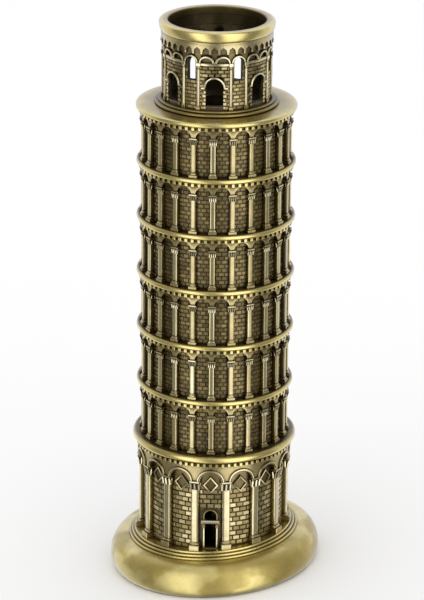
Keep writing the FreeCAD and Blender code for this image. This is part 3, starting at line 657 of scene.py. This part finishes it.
def column_outline(column, foot):
    """Half of a column's outline: a sloping foot, a ring, a groove, the shaft and its capital's neck."""
    shaft, swell = column["shaft"], column["swell"]
    capital, abacus = column["capital"], column["abacus"]
    shares = [
        (swell * 0.94, 0.00, 0.4),
        (swell, 0.10, 0.9),
        (swell, 0.34, 0.95),
        (swell * 0.9, 0.48, 0.8),
        (shaft * 1.08, 0.60, 0.7),
        (shaft * 1.16, 0.66, 0.85),
        (shaft * 1.14, 0.80, 0.85),
        (shaft * 0.84, 0.84, 0.1),
        (shaft * 0.84, 0.95, 0.1),
        (shaft, 1.00, 0.85),
    ]
    outline = [(reach, foot + column["foot_height"] * share, worn) for reach, share, worn in shares]
    outline += [(shaft * 1.01, (foot + capital) / 2, 0.9), (shaft * 0.98, capital, 0.9)]
    outline += [(shaft * 0.82, capital + 0.15, 0.08), (shaft * 0.86, abacus - 0.2, 0.08)]
    return outline + [(shaft * 1.1, abacus + 0.05, 0.2)]


def add_column(piece, radius, angle, floor, column):
    """A plinth block, a column with a leaf capital and an abacus, standing half out of the wall."""
    root = -1.2
    block_top = floor + column["block_height"]
    capital, abacus = column["capital"], column["abacus"]
    leaf_top = abacus + 0.05
    reach, width = column["leaf_reach"], column["leaf_width"]

    def slab(half, face, levels, bevel, polish):
        def place(points):
            return face_on(points, radius, angle)

        block(piece, (-half, half), (root, face - radius), levels, place, bevel, polish)

    levels = (floor, block_top)
    slab(column["block_half"], column["block_face"], levels, column["block_bevel"], (0.5, 0.8))
    turned_post(piece, column_outline(column, block_top), radius, angle, 32, squareness=7.0)
    for across in column["leaves"]:
        spot = (across, reach - 0.12 * abs(across))
        leaf(piece, radius, angle, spot, 0.0, capital, leaf_top, width)
    for side in (-1, 1):
        spot = (side * column["shaft"] * 1.05, reach * 0.35)
        leaf(piece, radius, angle, spot, side * math.pi / 2, capital, leaf_top, width)
    half, face = column["abacus_half"], column["abacus_face"]
    middle = abacus + (column["abacus_top"] - abacus) * 0.4
    slab(half * 0.88, face - 0.25, (abacus, middle + 0.05), 0.12, (0.2, 0.85))
    slab(half, face, (middle, column["abacus_top"]), 0.12, (0.3, 1.0))


def make_gallery(storey):
    """One arcaded storey: brick wall, 24 columns, and the arches they carry."""
    floor, top, reach = extent(f"gallery_{storey}")
    columns = 24
    bay = FULL_TURN / columns
    wall = 30.3
    bed = wall - BED
    column_ring = 31.2
    abacus_top = top - 3.3
    abacus = abacus_top - ABACUS_HEIGHT
    column = {
        "block_height": 1.25,
        "block_bevel": 0.16,
        "block_half": 1.85,
        "block_face": reach,
        "foot_height": 1.4,
        "shaft": 1.1,
        "swell": 1.5,
        "capital": abacus - 1.9,
        "abacus": abacus,
        "abacus_top": abacus_top,
        "abacus_half": 1.72,
        "abacus_face": reach - 0.1,
        "leaves": (-1.24, -0.42, 0.42, 1.24),
        "leaf_width": 0.62,
        "leaf_reach": 1.1,
    }
    piece = Piece()
    tube = [(TOWER_BORE, floor), (bed, floor), (bed, (floor + top) / 2), (bed, top), (TOWER_BORE, top)]
    lathe(piece, [(radius, level, 0.26) for radius, level in tube])
    levels = (floor + 0.1, abacus_top + 2.5)
    brickwork(piece, bed, levels, 11, 74, lambda angle, low, high: low, 0.3, 0.3, (0.24, 0.48))
    post = Piece()
    add_column(post, column_ring, 0.0, floor, column)
    piece.repeat(post, columns, uneven=0.2)
    edges = arch_edges(bay / 2, 3.25, 31.9, foot=abacus_top - 0.1, spring=abacus_top, rise=2.85)
    samples = bay_samples(columns, bay / 2, edges)
    arcade(piece, wall - 0.4, 32.0, 0.2, samples, top, [0.15, 0.3, 0.85, 0.34, 0.2])
    finish_piece(f"gallery_casting_{storey}", piece, f"gallery_{storey}", CAST)


def add_dentils(piece, core, teeth, bottom, soffit):
    """A band of square teeth under a ring."""
    half = math.pi * (core + 0.6) / teeth * 0.5
    levels = (bottom + 0.05, soffit + 0.1)
    tooth = Piece()
    block(tooth, (-half, half), (core - 0.3, core + 1.2), levels, on_axis, 0.2, (0.2, 0.95))
    piece.repeat(tooth, teeth)


def make_cornice(name, node, bottom, top, core, drop, teeth):
    """A rounded ring over a band of dentils, with a spigot below it and one above."""
    edge = extent(node)[2]
    soffit = bottom + drop
    round_half = (top - soffit) * 0.5
    middle = edge - round_half
    foot, head = bottom - SPIGOT_HEIGHT, top + SPIGOT_HEIGHT
    tread = top - 0.1
    # Polish along the roll falls towards its top: it is less rubbed there, and darkened as a painted
    # reflection of the dark wall above
    polish_and_shade = [0.85] * 3 + [1.0] * 5 + [0.9, 0.75, 0.6, 0.45, 0.3]
    outline = [(SPIGOT_BORE, foot, 0.05), (SPIGOT_RADIUS, foot, 0.05), (SPIGOT_RADIUS, bottom, 0.05)]
    outline += [(core, bottom, 0.05), (core, soffit, 0.1), (edge - 0.8, soffit, 0.5)]
    outline += arc((middle, soffit + round_half), round_half, round_half, -75, 86, polish_and_shade)
    outline += [(middle - 0.5, tread, 0.3), (SPIGOT_RADIUS, tread, 0.1)]
    outline += [(SPIGOT_RADIUS, head, 0.05), (SPIGOT_BORE, head, 0.05)]
    piece = Piece()
    lathe(piece, outline, 256)
    add_dentils(piece, core, teeth, bottom, soffit)
    finish_piece(name, piece, node, SMOOTH)


def make_terrace(bottom, top):
    """The wide deck over the top gallery. It closes the tower, and its well holds the upper nut."""
    edge = extent("terrace_deck")[2]
    core = CORNICE_CORE
    soffit = bottom + CORNICE_DROP
    foot = bottom - SPIGOT_HEIGHT
    well_floor = extent("top_washer")[0]
    boss_foot = well_floor - 1.6
    rod_hole, well, boss = 2.75, 8.5, 10.1
    lip = 1.1
    under = [(rod_hole, well_floor), (rod_hole, boss_foot), (boss, boss_foot), (boss, soffit)]
    under += [(SPIGOT_BORE, soffit), (SPIGOT_BORE, foot), (SPIGOT_RADIUS, foot), (SPIGOT_RADIUS, bottom)]
    under += [(core, bottom), (core, soffit)]
    outline = [(radius, level, 0.1) for radius, level in under] + [(edge - 0.8, soffit, 0.5)]
    outline += arc((edge - lip, soffit + lip), lip, lip, -80, 60, [0.95] * 10)
    outline += [(edge - 1.6, top - 0.12, 0.85), (edge - 4.0, top, 0.72), (27.0, top, 0.6)]
    outline += [(20.0, top, 0.1), (well, top, 0.05), (well, well_floor, 0.05)]
    piece = Piece()
    lathe(piece, outline, 256)
    add_dentils(piece, core, CORNICE_TEETH, bottom, soffit)
    finish_piece("terrace_casting", piece, "terrace_deck", SMOOTH)


def make_ground():
    """The ground storey: blind arches on half-round columns, lozenges, brickwork and the portal."""
    top = extent("ground_storey")[1]
    bays = 15
    bay = FULL_TURN / bays
    wall = 31.0
    bed = wall - BED
    column_ring = 31.5
    arch_ring = 33.0
    abacus_top = top - 7.1
    abacus = abacus_top - ABACUS_HEIGHT
    capital = abacus - 3.2
    half_way = 20.0
    seat = (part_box("plinth_ring")[1].z / MM - BASE_TOP) / AXIS.z

    def floor_at(angle, radius):
        """Level of the foot, which is cut to the slope."""
        return seat + radius * math.sin(angle) * SLOPE

    outline = [(TOWER_BORE, None, 0.03), (bed, None, 0.22), (bed, half_way, 0.24)]
    outline += [(bed, capital - 1.0, 0.24), (bed, capital, 0.42), (bed, top, 0.42)]
    outline += [(TOWER_BORE, top, 0.03), (TOWER_BORE, half_way, 0.03)]
    shell = Piece()
    lathe(shell, outline, 240, floor_at)
    core = make_mesh("ground_wall_core", shell, TOWER)
    portal = {"half": 2.4, "sill": 3.7, "lintel": 15.1, "lintel_top": 16.8, "spring": 18.7}
    half = portal["half"]
    through = (26.0, wall + 3)
    openings = Piece()
    prism(openings, arched(half, portal["lintel_top"], portal["spring"]), *through, 0.0)
    sides = ((-half, "sill"), (half, "sill"), (half, "lintel"), (-half, "lintel"))
    prism(openings, [(x, portal[level]) for x, level in sides], *through, 0.0)
    cut_openings(core, openings)

    portal_reach, portal_head = 4.9, 21.8

    def keep(angle, brick_low, brick_high):
        turn = (angle + math.pi) % FULL_TURN - math.pi
        if abs(turn) * wall < portal_reach and brick_low < portal_head:
            return None
        start = floor_at(angle, wall) + 0.1
        return max(brick_low, start) if brick_high > start else None

    piece = Piece()
    brickwork(piece, bed, (0.0, capital - 0.4), 14, 60, keep, 0.42, 0.42, (0.15, 0.85))
    column = {
        "block_height": 2.8,
        "block_bevel": 0.3,
        "block_half": 2.3,
        "block_face": 34.6,
        "foot_height": 1.3,
        "shaft": 1.66,
        "swell": 2.15,
        "capital": capital,
        "abacus": abacus,
        "abacus_top": abacus_top,
        "abacus_half": 2.3,
        "abacus_face": 34.0,
        "leaves": (-1.8, 0.0, 1.8),
        "leaf_width": 1.15,
        "leaf_reach": 1.75,
    }
    for index in range(bays):
        angle = (index + 0.5) * bay
        add_column(piece, column_ring, angle, floor_at(angle, column_ring) - 0.3, column)
    edges = arch_edges(bay / 2, 4.95, arch_ring, abacus_top, abacus_top, 4.55, 20)
    samples = bay_samples(bays, 0.0, edges)
    arcade(piece, wall - 0.4, arch_ring + 0.1, 0.15, samples, top, [0.1, 0.2, 0.66, 0.66, 0.4])
    trim = Piece()
    rolls = ((5.5, 5.1, roll_section(0.56, 32.8, 33.85)), (4.86, 4.45, roll_section(0.2, 32.5, 33.4)))
    for span, rise, section in rolls:
        sweep(trim, arch_path(0.0, span, rise, abacus_top, 25), section, wrapper(arch_ring))
    add_lozenge(trim, wall, abacus_top - 2.25, 2.95, 3.4)
    piece.repeat(trim, bays, uneven=0.2)
    add_portal(piece, wall, portal)
    finish_piece("ground_casting", piece, "ground_storey", CAST, core=core)


def add_lozenge(piece, wall, centre, half_width, half_height):
    """A raised diamond frame round a rough panel."""
    root = wall - 0.6
    place = wrapper(wall)
    foot, head = centre - half_height, centre + half_height
    corners = [(-half_width, centre), (0, head), (half_width, centre), (0, foot)]
    sweep(piece, corners, roll_section(0.42, root, wall + 0.9), place, closed=True, smooth=False)
    panel = [(x, depth, z) for depth in (root, wall + 0.05) for x, z in corners]
    faces = [(0, 1, 3), (1, 2, 3), (5, 4, 7), (6, 5, 7)]
    faces += [(index, 4 + index, 4 + (index + 1) % 4, (index + 1) % 4) for index in range(4)]
    piece.add(place(panel), faces, 0.36)


def add_portal(piece, wall, portal):
    """Jambs, capitals, a lintel slab and a moulded arch round the doorway."""
    half, sill, lintel, lintel_top = (portal[key] for key in ("half", "sill", "lintel", "lintel_top"))
    jamb_half = 0.48
    root = -0.6

    def place(points):
        return face_on(points, wall)

    for side in (-1, 1):
        middle = side * (half + jamb_half)
        sweep(piece, [(middle, sill), (middle, lintel)], roll_section(jamb_half, root, 0.9), place)
        bracket = sorted((side * (half - 0.1), side * (half + 1.1)))
        block(piece, bracket, (root, 1.5), (lintel - 1.9, lintel + 0.1), place, 0.4, (0.4, 1.0))
    block(piece, (-3.95, 3.95), (root, 1.8), (lintel, lintel_top), place, 0.5, (0.9, 1.0))
    block(piece, (-3.3, 3.3), (root, 1.4), (sill - 0.7, sill + 0.1), place, 0.12, (0.1, 0.5))
    for radius, width, proud, bright in ((half + 0.5, 0.5, 0.8, 0.42), (half + 1.35, 0.35, 0.3, 0.3)):
        over = arch_path(0.0, radius, radius, portal["spring"], 17)
        path = [(-radius, lintel_top)] + over + [(radius, lintel_top)]
        sweep(piece, path, roll_section(width, wall - 0.5, wall + proud, bright), on_axis)


# -------- bell chamber


def make_bell_foot():
    """Two rounded steps under the bell chamber, and a low spigot that fits into its bore."""
    low, top, edge = extent("bell_foot")
    shoulder = top - 0.8
    bore, spigot = 19.6, 20.7
    lower_worn = [0.25, 0.4, 0.55, 0.62, 0.62, 0.55, 0.45, 0.35]
    upper_worn = [0.25, 0.4, 0.55, 0.6, 0.58, 0.45, 0.35]
    outline = [(bore, low, 0.1)]
    outline += arc((edge - 0.7, low + 0.7), 0.7, 0.68, -85, 85, lower_worn)
    outline += arc((edge - 1.9, low + 1.9), 0.5, 0.48, -80, 85, upper_worn)
    outline += [(BELL_WALL, shoulder, 0.15), (spigot, shoulder, 0.1), (spigot, top, 0.05), (bore, top, 0.05)]
    piece = Piece()
    lathe(piece, outline, 256)
    finish_piece("bell_foot_mouldings", piece, "bell_foot", SMOOTH)


def make_bell_chamber():
    """The open chamber: seven door bays and seven window bays, with arches over both."""
    low, high, _ = extent("bell_chamber")
    top = high - REBATE_HEIGHT
    wall = BELL_WALL
    bed = wall - BED
    root = wall - 0.5
    half_way = low + 10
    bays = 7
    period = FULL_TURN / bays
    small = period / 3
    string_low = low + 18.95
    string_top = low + 20.35
    door_rise = 9.6
    door_spring = low + door_rise
    outline = [(BELL_BORE, low, 0.2), (bed, low, 0.32), (bed, half_way, 0.32), (bed, top, 0.4)]
    outline += [(REBATE_RADIUS, top, 0.05), (REBATE_RADIUS, high, 0.05)]
    outline += [(BELL_BORE, high, 0.26), (BELL_BORE, half_way, 0.24)]
    shell = Piece()
    lathe(shell, outline, 168)
    core = make_mesh("bell_wall_core", shell, TOWER)
    radius = wall * small / 2 - 0.15
    inner, outer = BELL_BORE - 3, wall + 3
    openings = Piece()
    for index in range(bays):
        door = index * period
        prism(openings, arched(3.65, low + 1.6, door_spring), inner, outer, door)
        prism(openings, arched(1.9, low + 12.6, low + 20.5), inner, outer, door + period / 2)
        for side in (-0.5, 0.5):
            recess = arched(radius - 0.8, string_top, string_top + 0.05)
            prism(openings, recess, wall - 0.9, outer, door + side * small, 0.4)
    cut_openings(core, openings)

    window_rise, window_reach = 12.2, 2.9
    jamb_rise, jamb_reach, arch_reach = 9.4, 4.6, 5.0

    def keep(angle, brick_low, brick_high):
        turn = (angle + period / 2) % period - period / 2
        across = abs(turn) * wall
        middle = (brick_low + brick_high) / 2 - low
        if across >= small * wall:
            from_window = abs(abs(turn) - period / 2) * wall
            left_out = middle > window_rise and from_window < window_reach
        elif brick_high > string_low + 0.1:
            left_out = True
        elif middle < jamb_rise:
            left_out = across < jamb_reach
        else:
            left_out = math.hypot(across, middle - door_rise) < arch_reach
        return None if left_out else brick_low

    piece = Piece()
    brickwork(piece, bed, (low + 0.1, string_low), 12, 54, keep, 0.32, 0.32, (0.25, 0.74))
    trim = Piece()
    place = wrapper(wall)
    for middle in (-small / 2, small / 2, small * 1.5):
        path = arch_path(middle * wall, radius - 0.45, radius - 0.75, string_top + 0.1, 19)
        sweep(trim, path, roll_section(0.5, root, wall + 0.62), place)
    foot = door_spring - 0.1
    span, feet = 4.15, 1.4
    path = [(-span - feet, foot)] + arch_path(0.0, span, 4.5, foot, 19) + [(span + feet, foot)]
    sweep(trim, path, roll_section(0.5, root, wall + 0.7), place)
    for side in (-1, 1):
        for row in range(5):
            foot = low + 0.5 + row * 1.66
            long = 1.5 if row % 2 else 1.0
            span = sorted((side * 3.6, side * (3.6 + long)))
            block(trim, span, (root, wall + 0.32), (foot, foot + 1.3), place, 0.16, (0.1, 0.8))
    block(trim, (-3.9, 3.9), (root, wall + 0.2), (low + 0.9, low + 1.6), place, 0.12, (0.1, 0.4))
    string_reach = small * wall - 0.2
    string_middle = (string_low + string_top) / 2
    course = [(x, string_middle) for x in np.linspace(-string_reach, string_reach, 13)]
    sweep(trim, course, roll_section((string_top - string_low) / 2, root, wall + 0.55), place)
    levels = (string_top - 0.5, string_top + 0.5)
    block(trim, (-0.4, 0.4), (root, wall + 0.66), levels, place, 0.16, (0.2, 0.9))
    for side in (-1, 1):
        centre = side * small * wall
        cap = (centre - 0.95, centre + 0.95)
        block(trim, cap, (root, wall + 0.9), (string_low - 0.1, string_top), place, 0.18, (0.2, 1.0))
        block(trim, cap, (root, wall + 0.85), (low, low + 1.3), place, 0.16, (0.1, 0.7))
        shaft = [
            (0.62, low + 1.0, 0.4),
            (0.9, low + 1.3, 0.5),
            (0.9, low + 1.7, 0.7),
            (0.64, low + 2.0, 0.9),
            (0.64, low + 10.0, 1.0),
            (0.62, string_low - 1.4, 1.0),
            (0.5, string_low - 1.3, 0.3),
            (0.62, string_low - 1.0, 0.9),
            (0.95, string_low - 0.1, 1.0),
        ]
        turned_post(trim, shaft, wall + 0.05, side * small, 14)
    piece.repeat(trim, bays)
    finish_piece("bell_chamber_casting", piece, "bell_chamber", CAST, core=core)


def make_corbels():
    """A band of small pointed arches whose legs end in drops, under a plain moulding."""
    low, high, _ = extent("corbel_ring")
    top = high - REBATE_HEIGHT
    bed = low + RECESS_HEIGHT
    band = low + 3.2
    count = 40
    bay = FULL_TURN / count
    piece = Piece()
    outline = [(RECESS_RADIUS, low, 0.1), (23.1, low, 0.32), (23.1, band - 0.2, 0.32), (23.7, band, 0.6)]
    outline += [(23.9, band + 0.3, 0.72), (23.9, top - 0.15, 0.74), (23.7, top, 0.7)]
    outline += [(REBATE_RADIUS, top, 0.1), (REBATE_RADIUS, high, 0.15), (BELL_BORE, high, 0.18)]
    outline += [(BELL_BORE, bed, 0.18), (RECESS_RADIUS, bed, 0.1)]
    lathe(piece, outline, 168)
    half = bay * 0.36
    steps = ((1.0, 0.9), (0.94, 1.25), (0.66, 1.65), (0.28, 1.95), (0.1, 2.25))
    right = [(half + STEP_WIDTH, low)] + [(half * share, low + rise) for share, rise in steps]
    left = [(-angle, level) for angle, level in right]
    edges = [(-0.5 * bay, low)] + left + [(0.0, low + 2.55)] + right[::-1]
    samples = bay_samples(count, 0.0, edges)
    arcade(piece, BELL_WALL, 23.85, 0.18, samples, band + 0.3, [0.2, 0.4, 0.85, 0.74, 0.6])
    drop = Piece()
    block(drop, (-0.42, 0.42), (BELL_WALL, 24.0), (low - 0.5, low + 0.4), on_axis, 0.16, (0.2, 1.0))
    piece.repeat(drop, count, bay / 2)
    finish_piece("corbel_casting", piece, "corbel_ring", CAST)


def make_rim():
    """The thick smooth rim: it swells out to a rounded lip, and its broad top rolls in to the bore."""
    low, high, edge = extent("crown_rim")
    lip = 1.25
    foot = edge - 0.75
    rise = high - lip - low
    bed = low + RECESS_HEIGHT
    outline = [(RECESS_RADIUS, low, 0.05), (foot - 0.1, low, 0.5), (foot, low + 0.1, 0.9)]
    for share in (0.2, 0.4, 0.6, 0.8):
        swell = (edge - foot) * (1 - (1 - share) ** 2)
        outline.append((foot + swell, low + rise * share, 0.95))
    outline += arc((edge - lip, high - lip), lip, lip, 0, 80, [0.97] * 10)
    outline += [(22.6, high - 0.05, 0.78), (21.5, high - 0.1, 0.7)]
    outline += arc((21.4, high - 0.7), 0.6, 0.6, 90, 180, [0.6, 0.5, 0.35, 0.25, 0.2])
    outline += [(BELL_BORE, bed, 0.18), (RECESS_RADIUS, bed, 0.1)]
    piece = Piece()
    lathe(piece, outline, 256)
    finish_piece("rim_casting", piece, "crown_rim", SMOOTH)


# -------- the whole model


def make_model():
    make_base()
    make_plinth()
    make_ground()
    ground_top = extent("ground_storey")[1]
    floors = {storey: extent(f"gallery_{storey}") for storey in range(1, 7)}
    make_cornice("ground_cornice_ring", "ground_cornice", ground_top, floors[1][0], 33.3, 2.0, 80)
    for storey in range(1, 7):
        make_gallery(storey)
    for storey in range(1, 6):
        levels = (floors[storey][1], floors[storey + 1][0])
        sizes = (CORNICE_CORE, CORNICE_DROP, CORNICE_TEETH)
        make_cornice(f"cornice_ring_{storey}", f"cornice_{storey}", *levels, *sizes)
    make_terrace(floors[6][1], extent("bell_foot")[0])
    make_bell_foot()
    make_bell_chamber()
    make_corbels()
    make_rim()
    for node in ("tie_rod", "dome_nut", "top_washer", "base_nut", "base_washer", "belfry_screws", "felt_pad"):
        materials = frame["nodes"][node].data.materials
        materials.clear()
        materials.append(FELT if node == "felt_pad" else STEEL)


# -------- studio


def make_floor():
    """A wide pale floor, which the metal doesn't mirror."""
    reach = 4.0
    corners = [(-reach, -reach, 0), (reach, -reach, 0), (reach, reach, 0), (-reach, reach, 0)]
    mesh = bpy.data.meshes.new("floor")
    mesh.from_pydata(corners, [], [(0, 1, 2, 3)])
    floor = bpy.data.objects.new("floor", mesh)
    bpy.context.scene.collection.objects.link(floor)
    material, shader = new_material("pale_floor", 0.0)
    shader.inputs["Base Color"].default_value = (0.86, 0.86, 0.86, 1)
    shader.inputs["Roughness"].default_value = 0.9
    mesh.materials.append(material)
    floor.visible_glossy = False


def sine(degrees):
    return math.sin(math.radians(degrees))


def cosine(degrees):
    return math.cos(math.radians(degrees))


def over_edge(tree, value, edge, soft):
    """1 where a value is over an edge and 0 below it, with a soft change between."""
    return soft_step(tree, value, edge - soft, edge + soft)


def height_of(tree, direction):
    upright = tree.nodes.new("ShaderNodeSeparateXYZ")
    tree.links.new(direction, upright.inputs["Vector"])
    return upright.outputs["Z"]


def soft_box(tree, direction, azimuth, reach, bottom, top, colour, strength):
    """A soft box within reach degrees of an azimuth, from the front to the right, between elevations."""
    toward = (sine(azimuth), -cosine(azimuth), 0.0)
    level = vector_node(tree, "NORMALIZE", vector_node(tree, "MULTIPLY", direction, (1, 1, 0)))
    edge = cosine(reach)
    across = over_edge(tree, vector_node(tree, "DOT_PRODUCT", level, toward), edge, edge - cosine(reach + 7))
    height = height_of(tree, direction)
    over = over_edge(tree, height, sine(bottom), 0.12)
    under = over_edge(tree, height, sine(top), 0.12)
    inside = math_node(tree, "MULTIPLY", over, math_node(tree, "SUBTRACT", 1.0, under))
    amount = math_node(tree, "MULTIPLY", across, math_node(tree, "MULTIPLY", inside, strength))
    return vector_node(tree, "SCALE", colour, amount)


def overhead(tree, direction, bottom, colour, strength):
    """A soft light overhead, down to an elevation in degrees."""
    over = over_edge(tree, height_of(tree, direction), sine(bottom), 0.08)
    return vector_node(tree, "SCALE", colour, math_node(tree, "MULTIPLY", over, strength))


def make_world():
    """Soft studio light. The camera and the floor see plain white; metal sees separate soft boxes."""
    world = bpy.data.worlds.new("studio")
    bpy.context.scene.world = world
    world.use_nodes = True
    tree = world.node_tree
    background = tree.nodes["Background"]
    direction = tree.nodes.new("ShaderNodeTexCoord").outputs["Generated"]
    warm = (1.0, 0.97, 0.90)
    cool = (0.86, 0.92, 1.25)
    room = (0.27, 0.26, 0.23)
    white = (1.2, 1.2, 1.2)
    # azimuth, reach, lowest and highest elevation, colour and strength
    boxes = [
        (35, 22, -60, 50, warm, 1.55),
        (-34, 16, -60, 50, warm, 1.5),
        (118, 20, -60, 60, warm, 0.5),
        (-118, 20, -60, 60, warm, 0.5),
        (180, 48, -60, 75, cool, 0.62),
    ]
    total = overhead(tree, direction, 60, warm, 0.5)
    for box in boxes:
        total = vector_node(tree, "ADD", total, soft_box(tree, direction, *box))
    rays = tree.nodes.new("ShaderNodeLightPath")
    plain = math_node(tree, "MAXIMUM", rays.outputs["Is Camera Ray"], rays.outputs["Is Diffuse Ray"])
    seen = tree.nodes.new("ShaderNodeMix")
    seen.data_type = "VECTOR"
    tree.links.new(plain, seen.inputs["Factor"])
    tree.links.new(vector_node(tree, "ADD", total, room), seen.inputs[4])
    seen.inputs[5].default_value = white
    tree.links.new(seen.outputs[1], background.inputs["Color"])
    background.inputs["Strength"].default_value = 1.0
    bpy.context.scene.view_settings.view_transform = "Standard"


def make_camera():
    """The camera stands in front, a little above, and is turned with the tower's lean."""
    distance = 1198.8
    height = 548.0
    azimuth = math.radians(2.4)
    pitch = math.radians(20.169)
    yaw = math.radians(-0.065)
    roll = 0.00758
    focal_pixels = 2927.6
    image_height = 600
    ahead = Vector((math.sin(yaw) * math.cos(pitch), math.cos(yaw) * math.cos(pitch), -math.sin(pitch)))
    right = Vector((math.cos(yaw), -math.sin(yaw), 0))
    up = right.cross(ahead)
    rolled_right = math.cos(roll) * right + math.sin(roll) * up
    rolled_up = math.cos(roll) * up - math.sin(roll) * right
    stand = Matrix((rolled_right, rolled_up, -ahead)).transposed().to_4x4()
    stand.translation = Vector((0, -distance, height))
    place = TOWER @ Matrix.Rotation(azimuth, 4, "Z") @ stand
    place.translation = place.translation * MM
    data = bpy.data.cameras.new("camera")
    data.sensor_width = 36.0
    data.lens = focal_pixels / image_height * data.sensor_width
    data.clip_start = 0.05
    data.clip_end = 20.0
    camera = bpy.data.objects.new("camera", data)
    camera.matrix_world = place
    bpy.context.scene.collection.objects.link(camera)
    bpy.context.scene.camera = camera


make_camera()
make_world()
make_floor()
make_model()
